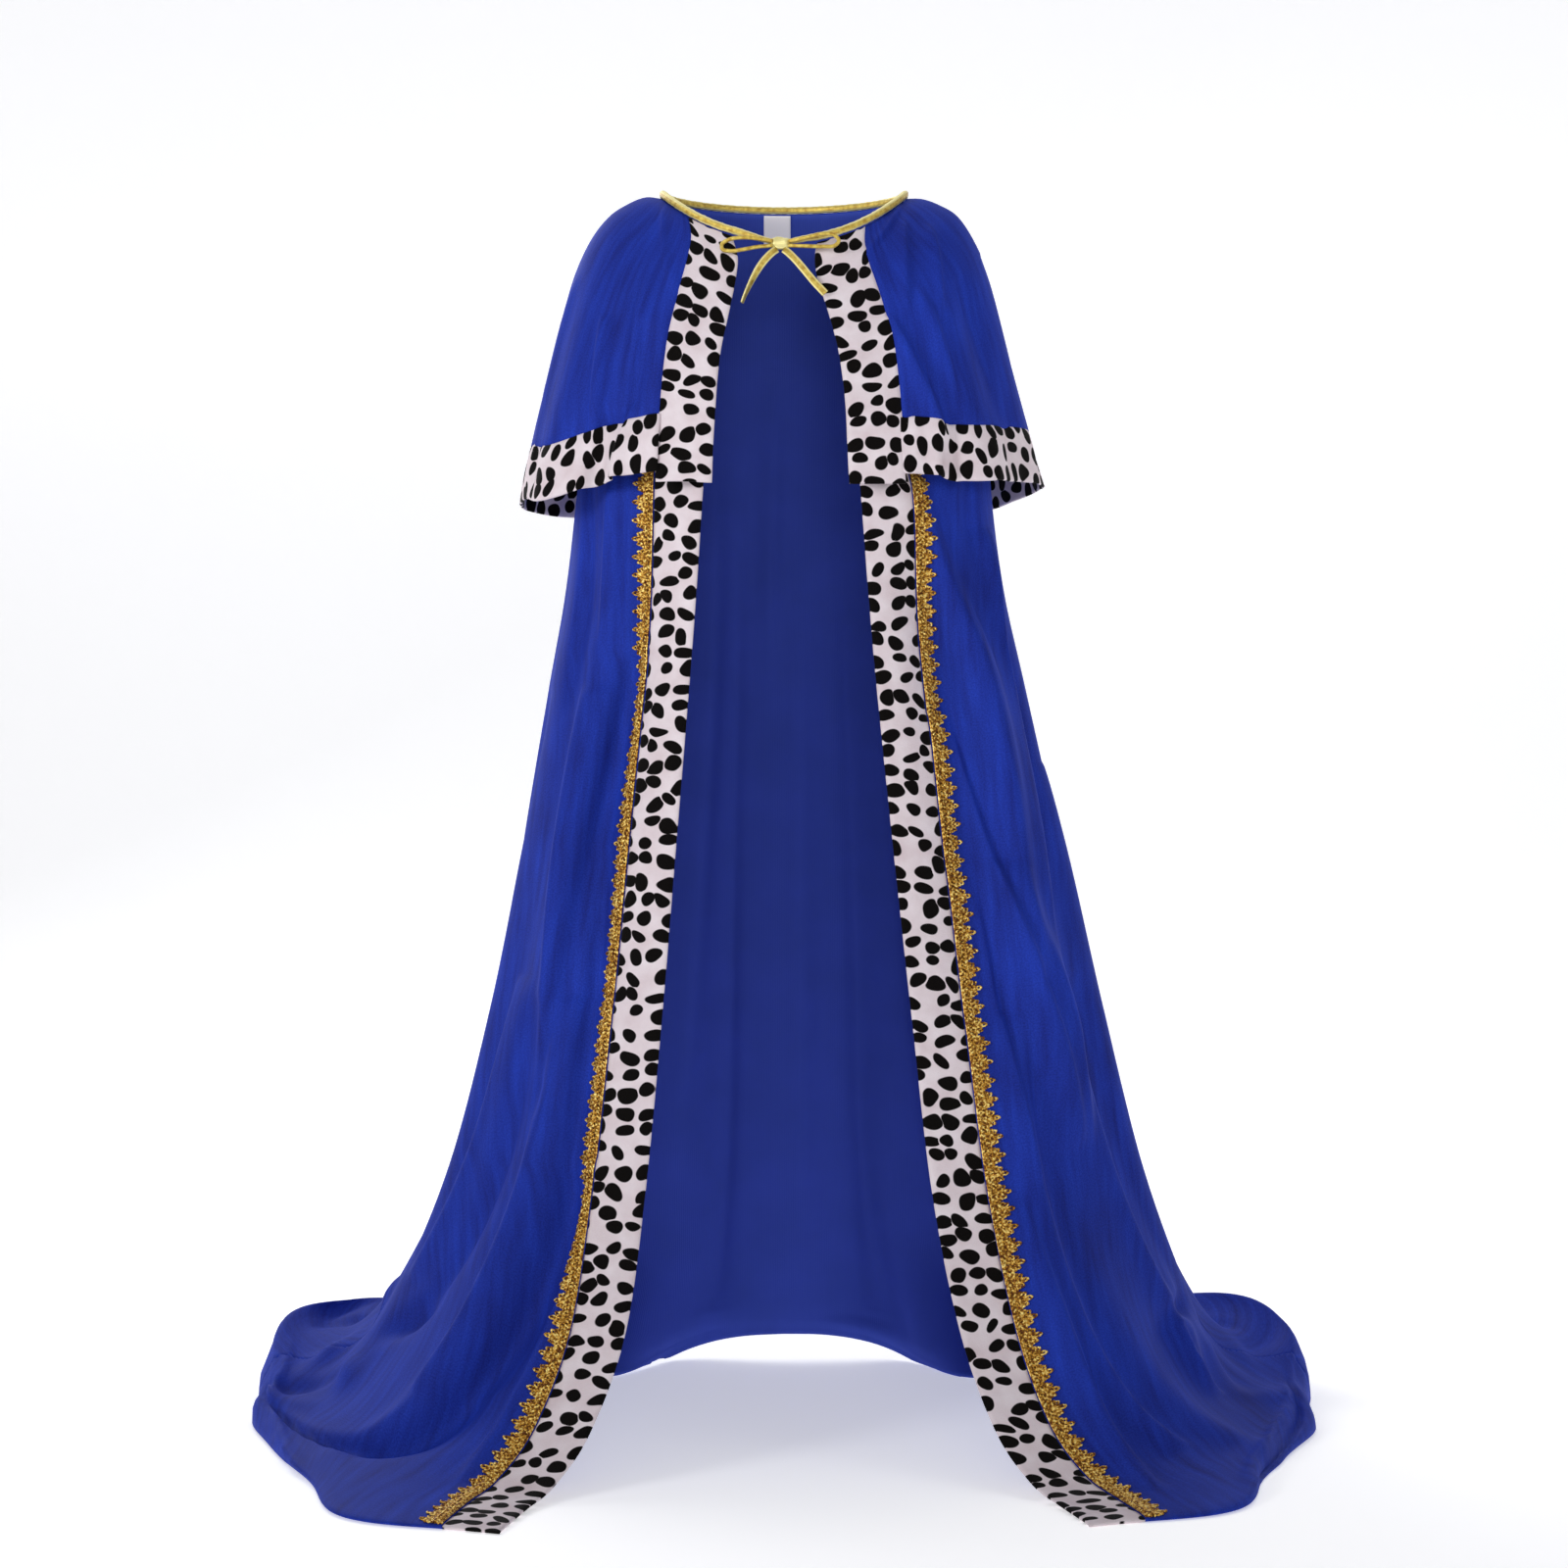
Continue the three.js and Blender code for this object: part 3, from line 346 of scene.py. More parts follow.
# Start, deepest row and end of each large fold, its place at the top and foot as a share of the half section
# from the back's middle, minus for the right, its width as such a share and its depth outwards.
CAPE_FOLDS = [
    [6.5, 9, 12, 0.83, 0.72, 0.045, 9], [7, 9.5, 12.5, 0.75, 0.66, 0.04, -7],
    [7.5, 12.5, 30, 0.66, 0.64, 0.05, 13], [10, 13, 17, 0.79, 0.62, 0.045, -11],
    [11, 13.5, 18, 0.86, 0.72, 0.04, 9], [6.5, 8.5, 11, -0.73, -0.75, 0.045, -7],
    [8.5, 10.5, 12.5, -0.8, -0.82, 0.045, 8], [9.5, 11.8, 15, -0.72, -0.68, 0.05, -11],
    [10.5, 13, 18, -0.83, -0.8, 0.04, 8], [7.5, 12.5, 30, -0.62, -0.6, 0.05, 11],
    [5.5, 13, 30, -0.08, -0.085, 0.035, 9], [5.5, 13, 30, 0.095, 0.1, 0.035, 9],
    [5.5, 13, 30, 0.0, 0.0, 0.03, -5], [6.5, 13, 30, -0.26, -0.27, 0.045, 15],
    [6.5, 13, 30, -0.37, -0.38, 0.045, -16], [6.5, 13, 30, -0.49, -0.49, 0.05, 13],
    [6.5, 13, 30, 0.27, 0.28, 0.045, 14], [6.5, 13, 30, 0.38, 0.39, 0.045, -15],
    [6.5, 13, 30, 0.5, 0.51, 0.05, 14], [12.2, 17, 30, -0.152, -0.152, 0.046, -96],
    [12.2, 17, 30, 0.162, 0.162, 0.046, -96], [13.5, 17.5, 30, -0.895, -0.895, 0.066, 42],
    [13.5, 17.5, 30, 0.895, 0.895, 0.066, 42], [5.5, 9, 15, -0.85, -0.865, 0.062, -21],
    [5.5, 8.6, 13, 0.85, 0.865, 0.062, -21],
]
# Cloth heaped on the floor: start, highest row and end, place, width and height.
CAPE_HEAPS = [
    [13, 15.8, 18, -0.43, 0.13, 54], [13, 15.8, 18, 0.43, 0.13, 57],
    [13.5, 16.5, 30, -0.135, 0.07, -34], [13.5, 16.5, 30, 0.15, 0.07, -34],
]
# Smaller creases: first and last row, place at both ends, how far the line bows sideways between them (all as
# shares of the half section), then the crease's width and its depth outwards in mm.
CAPE_CREASES = [
    [6.8, 10.8, 0.872, 0.803, -0.045, 32, 18], [7.0, 10.6, 0.765, 0.75, 0.0, 24, -6],
    [7.4, 11.8, 0.68, 0.775, 0.012, 36, 16], [10.1, 13.3, 0.805, 0.685, -0.005, 46, 22],
    [10.8, 13.6, 0.70, 0.62, 0.0, 30, -10], [9.2, 11.8, 0.872, 0.79, -0.012, 24, 12],
    [10.2, 12.0, 0.88, 0.862, 0.0, 15, 6], [11.0, 14.8, 0.845, 0.84, 0.03, 36, 19],
    [12.1, 15.8, 0.90, 0.922, -0.01, 22, 13], [13.1, 14.3, 0.68, 0.69, 0.02, 17, 8],
    [9.5, 13.6, 0.62, 0.6, 0.0, 34, 9], [6.4, 8.2, 0.74, 0.72, 0.01, 12, -4],
    [15.5, 17.9, 0.55, 0.80, 0.03, 42, -9], [15.2, 17.5, 0.60, 0.86, 0.03, 46, 7],
    [6.9, 8.6, -0.775, -0.785, 0.0, 20, 6], [6.6, 9.2, -0.70, -0.72, 0.0, 12, -6],
    [6.8, 8.8, -0.83, -0.835, 0.0, 16, 5], [8.7, 11.6, -0.862, -0.825, 0.012, 16, -11],
    [9.0, 11.4, -0.765, -0.815, 0.0, 32, 12], [10.0, 12.6, -0.86, -0.892, -0.004, 14, -9],
    [11.9, 15.0, -0.888, -0.79, -0.02, 27, -22], [10.9, 13.8, -0.832, -0.80, -0.012, 32, 17],
    [10.9, 13.2, -0.775, -0.68, -0.03, 20, -11], [10.8, 12.9, -0.712, -0.64, -0.012, 36, 15],
    [11.8, 15.2, -0.928, -0.93, 0.014, 16, 9], [9.0, 13.0, -0.6, -0.58, 0.01, 18, -8],
    [13.7, 16.5, -0.862, -0.56, -0.07, 36, -14], [15.2, 17.8, -0.5, -0.78, -0.02, 50, 7],
    [7.4, 15.0, -0.1, -0.06, 0.0, 26, 8], [7.4, 15.0, 0.125, 0.085, 0.0, 26, 8],
    [6.0, 12.5, -0.16, -0.15, 0.01, 14, -7], [7.6, 14.0, 0.2, 0.21, -0.01, 26, 9],
    [5.5, 9.0, -0.02, -0.03, 0.0, 11, -5], [8.0, 13.0, 0.03, 0.02, 0.0, 14, -6],
    [9.0, 14.5, -0.31, -0.33, 0.01, 30, 11], [8.0, 13.5, 0.33, 0.35, -0.01, 28, 10],
    [10.0, 15.0, -0.43, -0.46, 0.02, 17, -10], [9.5, 14.5, 0.44, 0.47, -0.01, 17, -10],
    [5.5, 8.5, -0.3, -0.28, 0.0, 11, -5], [7.2, 9.6, 0.25, 0.27, 0.01, 20, 4],
    [7.0, 10.4, -0.55, -0.56, 0.01, 22, 6], [6.5, 10.5, 0.56, 0.58, -0.01, 12, -6],
    [11.0, 15.5, -0.22, -0.24, 0.01, 30, 10], [11.5, 16.0, 0.12, 0.13, 0.0, 16, -6],
]
# How wide the side of a ridge and of a trough is towards the back's middle, over its side towards the front
# edge.
RIDGE_STEEP, TROUGH_STEEP = 0.25, 0.7
# Dents and puffs where the cloth crumples: row, place, half length and half width in mm, lean in radians from
# across the cloth, and height outwards.
CAPE_CRUMPLES = [
    [13.25, -0.68, 34, 13, 0.5, -12], [14.3, -0.55, 30, 15, -0.9, 12], [15.1, -0.43, 38, 13, 0.25, -10],
    [14.9, -0.60, 40, 14, 1.1, -9], [14.0, -0.64, 30, 12, -0.5, 9], [13.2, -0.56, 26, 12, 1.2, 9],
    [15.8, -0.62, 45, 15, 0.7, 5], [16.6, -0.50, 50, 14, 0.1, -4], [14.2, -0.80, 60, 18, 1.3, 5],
    [13.15, 0.67, 28, 10, 0.2, -13], [13.5, 0.69, 42, 14, 1.2, 12], [14.0, 0.63, 36, 16, 1.0, -6],
    [14.9, 0.50, 44, 15, -0.5, -6], [15.3, 0.62, 55, 16, -0.8, 5], [14.3, 0.55, 30, 13, 0.4, 6],
    [16.4, 0.55, 48, 14, 0.0, -4], [14.6, 0.78, 70, 20, -1.2, 4], [14.0, 0.88, 60, 13, -1.4, -4],
    [14.6, -0.30, 44, 15, 0.3, 6], [15.2, -0.2, 40, 13, -0.4, -5], [14.8, 0.31, 46, 15, -0.3, 6],
    [15.4, 0.22, 38, 13, 0.5, -5], [16.2, -0.1, 50, 14, 0.1, 4], [16.0, 0.08, 44, 13, -0.2, -4],
    [16.6, 0.33, 55, 15, 0.2, -4], [16.4, -0.36, 50, 15, -0.25, 4],
]


def between_rows(table, t):
    """A table read at row numbers t by a smooth curve through its rows: between two rows a cubic whose slope
    at each is half the difference of the rows on either side, held at the ends."""
    table = np.asarray(table, float)
    last = len(table) - 1
    row = np.clip(np.floor(t), 0, last - 1).astype(int)
    f = (t - row)[:, None]
    a, b, c, d = (table[np.clip(row + step, 0, last)] for step in (-1, 0, 1, 2))
    return (b * (2 * f**3 - 3 * f**2 + 1) + c * (3 * f**2 - 2 * f**3)
            + (c - a) / 2 * (f**3 - 2 * f**2 + f) + (d - b) / 2 * (f**3 - f**2))


def half_section(side, sections, edge):
    """One half of each row's line, from the back's middle to the front edge. In plan it is two squared-off
    ellipses: x is the half width times sin(a)^(2/square), y goes from the widest place by cos(a)^(2/square)
    to the back or to the front edge. Height goes to the back's by cos(a)^2, or to the edge's by
    cos(a)^FRONT_FALL."""
    width, side_height = sections[:, [0 if side < 0 else 1]], sections[:, [2 if side < 0 else 3]]
    back_y, back_height, middle_y = sections[:, [4]], sections[:, [5]], sections[:, [6]]
    front, back = 2 / sections[:, [7]], 2 / sections[:, [8]]
    edge_x, edge_y, edge_height = edge[:, [0]], edge[:, [1]], edge[:, [2]]
    sin_edge = (edge_x / width) ** (1 / front)
    cos_edge = np.sqrt(1 - sin_edge**2)
    front_depth = (middle_y - edge_y) / cos_edge**front
    angle = (np.pi - np.arcsin(sin_edge)) * np.linspace(0, 1, HALF_STEPS + 1)
    sin, cos = np.abs(np.sin(angle)), np.abs(np.cos(angle))
    behind = angle < np.pi / 2
    x = side * width * sin ** np.where(behind, back, front)
    y = np.where(behind, middle_y + (back_y - middle_y) * cos**back, middle_y - front_depth * cos**front)
    change = np.where(behind, (back_height - side_height) * cos**2,
                      (edge_height - side_height) * (cos / cos_edge) ** FRONT_FALL)
    return np.stack([x, y, side_height + change], axis=-1)


def swell(t, start, peak, end):
    """Nought at start and end and one at the peak, with a smooth rise and fall."""
    f = np.clip(np.minimum((t - start) / (peak - start), (end - t) / (end - peak)), 0, 1)
    return f * f * (3 - 2 * f)


def normals_of(grid):
    """The outward normal at each point of a grid: across times down, from the differences of its
    neighbours."""
    normal = np.cross(np.gradient(grid, axis=1), np.gradient(grid, axis=0))
    return normal / np.linalg.norm(normal, axis=-1, keepdims=True)


def drape(t, sections, edge_r, edge_l, folds, heaps, creases, crumples=()):
    """The cloth's lines at rows t, each from the R front edge over the back to the L front edge: plain
    sections, moved outwards in plan by the folds (depth times a bell across and a swell down), lifted by
    the heaps, kept above the floor, then moved along their normals by the creases and crumples. A crease is
    a bell across its bowed line, narrower on its side towards the back's middle, and fades at both ends as
    the square root of a sine. A crumple is a long bell both ways, turned by its lean."""
    last = len(sections) - 1
    rows = between_rows(sections, t)
    right = half_section(-1, rows, between_rows(edge_r, t))
    left = half_section(1, rows, between_rows(edge_l, t))
    plain = np.concatenate([right[:, ::-1], left[:, 1:]], axis=1)
    length = running(plain)
    middle = length[:, [HALF_STEPS]]
    half = np.where(length < middle, middle, length[:, [-1]] - middle)
    place = (length - middle) / half
    across = np.empty_like(plain[..., :2])
    across[:, 1:-1] = plain[:, 2:, :2] - plain[:, :-2, :2]
    across[:, 0] = plain[:, 1, :2] - plain[:, 0, :2]
    across[:, -1] = plain[:, -1, :2] - plain[:, -2, :2]
    across /= np.linalg.norm(across, axis=-1, keepdims=True)
    depth = np.zeros_like(place)
    for start, peak, end, at, foot, width, deep in folds:
        centre = at + (foot - at) * np.clip((t - start) / (min(end, last) - start), 0, 1)
        bell = np.exp(-((place - centre[:, None]) / width) ** 2)
        depth += deep * swell(t, start, peak, end)[:, None] * bell
    rise = np.zeros_like(place)
    for start, peak, end, at, width, high in heaps:
        rise += high * swell(t, start, peak, end)[:, None] * np.exp(-((place - at) / width) ** 2)
    moved = plain.copy()
    moved[..., 0] -= across[..., 1] * depth
    moved[..., 1] += across[..., 0] * depth
    floor = np.minimum(plain[..., 2], CLOTH + FLOOR_CLEARANCE)
    moved[..., 2] = np.maximum(moved[..., 2] + rise, floor) - NECK_HEIGHT
    lift = np.zeros_like(place)
    for start, end, at, foot, bow, width, deep in creases:
        f = np.clip((t - start) / (end - start), 0, 1)
        centre = at + (foot - at) * f + bow * 4 * f * (1 - f)
        away = (place - centre[:, None]) * half / width
        away = np.where(away * at > 0, away, away / (RIDGE_STEEP if deep > 0 else TROUGH_STEEP))
        lift += deep * (np.sin(np.pi * f) ** 0.5)[:, None] * np.exp(-away**2)
    for row, at, long, wide, lean, high in crumples:
        down = running(moved[:, np.abs(place[len(t) // 2] - at).argmin()])
        below = (down - np.interp(row, t, down))[:, None]
        beside = (place - at) * half
        along = (beside * np.cos(lean) + below * np.sin(lean)) / long
        athwart = (below * np.cos(lean) - beside * np.sin(lean)) / wide
        lift += high * np.exp(-along**2 - athwart**2)
    moved += normals_of(moved) * lift[..., None]
    moved[..., 2] = np.maximum(moved[..., 2], CLOTH + CREASE_CLEARANCE - NECK_HEIGHT)
    return moved


def at_length(lines, s):
    """Points at the lengths s along each row's line. All rows are read at once, each set off from the next by
    more than its own length."""
    length = running(lines)
    offset = np.arange(len(lines))[:, None] * (length.max() + 1000.0)
    wanted = (np.clip(s, 0, length[:, [-1]]) + offset).ravel()
    known = (length + offset).ravel()
    read = [np.interp(wanted, known, lines[..., k].ravel()) for k in range(3)]
    return np.stack(read, -1).reshape(*s.shape, 3)


def even_rows(lines, t, column, count):
    """Row numbers that are evenly spaced along one column of the cloth."""
    down = running(lines[:, column])
    return np.interp(np.linspace(0, down[-1], count), down, t)


def squares(rows, columns, places=(0,)):
    """The faces of a grid of points, once for each place in the vertex list where such a grid starts."""
    a = (np.arange(rows - 1)[:, None] * columns + np.arange(columns - 1)).ravel()
    faces = np.stack([a, a + 1, a + columns + 1, a + columns], axis=1)
    return (np.asarray(places)[:, None, None] + faces).reshape(-1, 4)


def cloth_shell(name, grid, thickness, face, reverse, u, v, above=FLOOR_CLEARANCE):
    """A closed sheet of cloth: the grid is its face, the reverse lies its thickness inside along the normals,
    kept above the floor, and a rounded rim joins them, whose middle line stands out by a third of the
    thickness. u and v are the place of each point on the cloth in millimetres."""
    rows, columns = grid.shape[:2]
    inside = grid - normals_of(grid) * thickness
    inside[..., 2] = np.maximum(inside[..., 2], above - NECK_HEIGHT)
    r, c = np.arange(rows), np.arange(columns)
    loop_r = np.concatenate([np.zeros(columns - 1), r[:-1], np.full(columns - 1, rows - 1), r[:0:-1]])
    loop_c = np.concatenate([c[:-1], np.full(rows - 1, columns - 1), c[:0:-1], np.zeros(rows - 1)])
    loop_r, loop_c = loop_r.astype(int), loop_c.astype(int)
    near_r, near_c = np.clip(loop_r, 1, rows - 2), np.clip(loop_c, 1, columns - 2)
    outward = grid[loop_r, loop_c] - grid[near_r, near_c]
    outward /= np.linalg.norm(outward, axis=1, keepdims=True)
    rim = (grid[loop_r, loop_c] + inside[loop_r, loop_c]) / 2 + outward * thickness / 3
    vertices = np.concatenate([grid.reshape(-1, 3), inside.reshape(-1, 3), rim])
    faces = squares(rows, columns)
    backs = faces[:, ::-1] + rows * columns
    edge = loop_r * columns + loop_c
    after = np.roll(edge, -1)
    middle = 2 * rows * columns + np.arange(len(edge))
    middle_after = np.roll(middle, -1)
    rims = np.concatenate([
        np.stack([after, edge, middle, middle_after], axis=1),
        np.stack([middle_after, middle, edge + rows * columns, after + rows * columns], axis=1),
    ])
    uv = np.stack([u, v], axis=-1).reshape(-1, 2)
    uv = np.concatenate([uv, uv, uv[edge]])
    index = np.concatenate([np.zeros(len(faces)), np.ones(len(backs)), np.zeros(len(rims))])
    return mesh_piece(name, vertices, np.concatenate([faces, backs, rims]), [face, reverse], uv, index)


# Velvet: a knitted ground with a short dense pile. The pile is dark looked at straight on and bright where it
# turns away, and the strokes that handling leaves in it run mostly down the cloth. Those strokes are painted
# into its colour as paler and darker streaks, partly the pile's own tone and partly painted sheen.
PILE_STROKE_SHEEN = (9.0, 70.0)  # width and length in mm of a stroke in the pile
PILE_LEAN = 0.12  # radians that the strokes lean from straight down
PILE_PATCH = 110.0  # mm across a patch where the pile lies its own way
STROKE_SHEEN_SHARE = 0.6  # of the strokes in the pile's shade, with the patches as the rest
PILE_GRAIN = 1.5  # mm, coarser than the real tufts so that the grain shows
velvet, tree = finish_named("short_pile_velvet")
place = add(tree, "ShaderNodeUVMap", {}, uv_map="cloth_mm")
stretch = add(tree, "ShaderNodeMapping", {
    "Vector": place, "Scale": (1 / PILE_STROKE_SHEEN[0], 1 / PILE_STROKE_SHEEN[1], 1.0), "Rotation": (0, 0, PILE_LEAN)})
strokes_and_sheen = add(tree, "ShaderNodeTexNoise", {"Vector": stretch, "Scale": 1.0, "Detail": 3.0})
patches = add(tree, "ShaderNodeTexNoise", {"Vector": place, "Scale": 1 / PILE_PATCH, "Detail": 2.0})
fine = add(tree, "ShaderNodeMath", {0: strokes_and_sheen, 1: STROKE_SHEEN_SHARE}, operation="MULTIPLY")
broad = add(tree, "ShaderNodeMath", {0: patches, 1: 1 - STROKE_SHEEN_SHARE}, operation="MULTIPLY")
both = add(tree, "ShaderNodeMath", {0: fine, 1: broad}, operation="ADD")
shade = add(tree, "ShaderNodeMapRange", {"Value": both, "From Min": 0.3, "From Max": 0.7})
grain = add(tree, "ShaderNodeTexNoise", {"Vector": place, "Scale": 1 / PILE_GRAIN, "Detail": 2.0})
# Darker and paler blue by the strokes and patches. The strokes' streaks are partly painted sheen.
blue = add(tree, "ShaderNodeMix", {
    "Factor": shade, "A": linear("#152379"), "B": linear("#1E3AAC")}, data_type="RGBA")
flecks = add(tree, "ShaderNodeMapRange", {
    "Value": grain, "From Min": 0.35, "From Max": 0.65, "To Min": 0.82, "To Max": 1.16})
tint = add(tree, "ShaderNodeVectorMath", {0: blue, "Scale": flecks}, operation="SCALE")
relief = add(tree, "ShaderNodeBump", {"Height": grain, "Distance": 0.0006, "Strength": 0.45})
shader = add(tree, "ShaderNodeBsdfPrincipled", {
    "Base Color": tint, "Normal": relief, "Roughness": 0.7, "Specular IOR Level": 0.12,
    "Sheen Weight": 0.22, "Sheen Roughness": 0.3, "Sheen Tint": linear("#2F5CFF")})
add(tree, "ShaderNodeOutputMaterial", {"Surface": shader})

# The velvet's reverse is its plain knitted ground: flat, darker, with faint ribs down the cloth.
KNIT_RIB = 2.2  # mm from rib to rib, coarser than the real one so that it shows
KNIT_PATCH = 60.0  # mm across a patch that took a little more or less dye
reverse, tree = finish_named("velvet_knit_reverse")
place = add(tree, "ShaderNodeUVMap", {}, uv_map="cloth_mm")
rib = add(tree, "ShaderNodeTexWave", {
    "Vector": place, "Scale": 1 / KNIT_RIB / RIBS_A_UNIT, "Distortion": 0.6}, bands_direction="X")
patches = add(tree, "ShaderNodeTexNoise", {"Vector": place, "Scale": 1 / KNIT_PATCH, "Detail": 3.0})
blue = add(tree, "ShaderNodeMix", {
    "Factor": patches, "A": linear("#35489F"), "B": linear("#3E51B8")}, data_type="RGBA")
relief = add(tree, "ShaderNodeBump", {"Height": rib.outputs["Fac"], "Distance": 0.0003, "Strength": 0.25})
shader = add(tree, "ShaderNodeBsdfPrincipled", {
    "Base Color": blue, "Normal": relief, "Roughness": 0.9, "Specular IOR Level": 0.15,
    "Sheen Weight": 0.15, "Sheen Roughness": 0.5, "Sheen Tint": linear("#3C55D8")})
add(tree, "ShaderNodeOutputMaterial", {"Surface": shader})

SIDE_SEAM = 0.56  # share of a half section, from the back's middle, where the side seam lies
BAND_WIDTH = 48.0
TUCK = 1.2  # how far each panel runs on under its neighbour at a seam
LINES_A_ROW = 40  # lines read from one row of a table to the next, to measure along
CAPE_ROWS = 250
cape_last = len(CAPE_SECTIONS) - 1
cape_t = np.linspace(0.0, cape_last, cape_last * LINES_A_ROW + 1)
cape_shape = (CAPE_SECTIONS, CAPE_EDGE_R, CAPE_EDGE_L, CAPE_FOLDS, CAPE_HEAPS, CAPE_CREASES)
cape_lines = drape(cape_t, *cape_shape)
rows_t = even_rows(cape_lines, cape_t, HALF_STEPS // 3, CAPE_ROWS)
panel_lines = drape(rows_t, *cape_shape, CAPE_CRUMPLES)
line_length = running(panel_lines)
cape_total = line_length[:, [-1]]
cape_middle = line_length[:, [HALF_STEPS]]
seam_right = cape_middle * (1 - SIDE_SEAM)
seam_left = cape_middle + (cape_total - cape_middle) * SIDE_SEAM


def down_cloth(grid):
    """How far down the cloth each row of a grid is, along its middle column, for every point."""
    return np.repeat(running(grid[:, grid.shape[1] // 2])[:, None], grid.shape[1], axis=1)


BACK_COLUMNS = 170
share = np.linspace(0, 1, BACK_COLUMNS + 1)
s = seam_right - TUCK + (seam_left - seam_right + 2 * TUCK) * share
grid = at_length(panel_lines, s)
back = cloth_shell("piece_cape_back", grid, CLOTH, velvet, reverse, s - cape_middle, down_cloth(grid))
dress(back)

# The two fronts: the same velvet, from the side seams to the spotted bands. The gold lace is sewn on beside
# the band, so the columns there are evenly spaced in millimetres from the seam.
LACE_COLUMN = 3.0
LACE_COLUMNS = np.arange(0.0, 28.0, LACE_COLUMN)
FRONT_COLUMNS = 100
FRONT_MAP_PLACE = 700.0  # mm sideways to each front's own part of the pile's pattern
TUCK_RUN = 1.5  # mm past the seam where a panel starts to dip
TUCK_DROP = 1.6  # mm that it then lies under its neighbour


def front_lengths(side):
    """Lengths along the rows from the band's seam to the side seam: first every 3 mm, then evenly."""
    seam, reach = (seam_right, seam_right) if side < 0 else (seam_left, cape_total - seam_left)
    from_seam = (LACE_COLUMNS - TUCK)[None, :] + np.zeros_like(seam)
    rest_start = LACE_COLUMNS[-1] - TUCK
    even = np.linspace(0, 1, FRONT_COLUMNS + 1)[None, 1:]
    return np.concatenate([from_seam, rest_start + (reach - BAND_WIDTH + TUCK - rest_start) * even], axis=1)


def make_front(side, name):
    """One front panel with its map, dipped under the band along their seam, and its grid for the lace that
    lies on it, with the columns counted from that seam."""
    distance = front_lengths(side)
    s = BAND_WIDTH + distance if side < 0 else (cape_total - BAND_WIDTH - distance)[:, ::-1]
    grid = at_length(panel_lines, s)
    from_seam = distance if side < 0 else distance[:, ::-1]
    tucked = np.clip(1 - (from_seam + TUCK) / (TUCK + TUCK_RUN), 0, 1)
    grid = grid - normals_of(grid) * (tucked * TUCK_DROP)[..., None]
    u = (from_seam + FRONT_MAP_PLACE) * side
    panel = dress(cloth_shell(name, grid, CLOTH, velvet, reverse, u, down_cloth(grid)))
    return panel, (grid if side < 0 else grid[:, ::-1])


front_right, front_right_grid = make_front(-1, "piece_cape_front_right")
front_left, front_left_grid = make_front(1, "piece_cape_front_left")

# The front bands: doubled short plush printed with black spots, folded over the front edges from the neck to
# the floor and sewn down along the velvet.
PLUSH = 2.6  # thickness of the doubled plush
BAND_COLUMNS = 14
SPOT_ROOM = (20.0, 16.8)  # mm from spot to spot, across the strip and along it
SPOT_LONG = (0.34, 0.50)  # half length of a spot, least and most, as a share of the way from spot to spot
SPOT_WIDE = (0.27, 0.39)  # and its half width
SPOT_SCATTER = 0.5  # how far the spots leave even rows, where 1 is the most
SPOT_LEAN = 2.2  # radians between the most that a spot leans one way and the other from across the strip
# The most that a spot's half length and half width may be, over half the way to its nearest neighbour.
SPOT_ROOM_LONG, SPOT_ROOM_WIDE = 1.3, 0.98
SPOT_BEND, SPOT_BENDS = 0.5, 0.9  # how far the rows of spots bend and how often, in spots
SPOT_EDGE, SPOT_BLACK = 1.07, 0.95  # outer and inner end of a spot's soft edge, over its half size
PLUSH_MOTTLE_SHADE = 24.0  # mm across a paler or darker patch of the ground
PLUSH_TUFT = 1.2  # mm, coarser than the real tufts so that they show

# Short plush: a dense matt pile on a knitted back, pinkish white and a little mottled. Its darker patches
# also stand for painted shade in its small creases. Its printed spots are black ovals with a slightly soft
# edge, and each leans its own way.
plush, tree = finish_named("spotted_short_plush")
place = add(tree, "ShaderNodeUVMap", {}, uv_map="cloth_mm")
cells = add(tree, "ShaderNodeVectorMath", {
    0: place, 1: (1 / SPOT_ROOM[0], 1 / SPOT_ROOM[1], 0.0)}, operation="MULTIPLY")
wobble = add(tree, "ShaderNodeTexNoise", {"Vector": cells, "Scale": SPOT_BENDS, "Detail": 0.0})
pushed = add(tree, "ShaderNodeVectorMath", {
    0: wobble.outputs["Color"], 1: (0.5, 0.5, 0.5)}, operation="SUBTRACT")
eased = add(tree, "ShaderNodeVectorMath", {0: pushed, "Scale": SPOT_BEND}, operation="SCALE")
bent = add(tree, "ShaderNodeVectorMath", {0: cells, 1: eased}, operation="ADD")
spots = add(tree, "ShaderNodeTexVoronoi", {
    "Vector": bent, "Scale": 1.0, "Randomness": SPOT_SCATTER}, voronoi_dimensions="2D", feature="F1")
room = add(tree, "ShaderNodeTexVoronoi", {
    "Vector": bent, "Scale": 1.0, "Randomness": SPOT_SCATTER},
    voronoi_dimensions="2D", feature="N_SPHERE_RADIUS")
offset = add(tree, "ShaderNodeVectorMath", {0: bent, 1: spots.outputs["Position"]}, operation="SUBTRACT")
chance = add(tree, "ShaderNodeSeparateColor", {"Color": spots.outputs["Color"]})
lean = add(tree, "ShaderNodeMapRange", {
    "Value": chance.outputs["Red"], "To Min": -SPOT_LEAN / 2, "To Max": SPOT_LEAN / 2})
leaning = add(tree, "ShaderNodeVectorRotate", {"Vector": offset, "Angle": lean}, rotation_type="Z_AXIS")
long_wanted = add(tree, "ShaderNodeMapRange", {
    "Value": chance.outputs["Green"], "To Min": SPOT_LONG[0], "To Max": SPOT_LONG[1]})
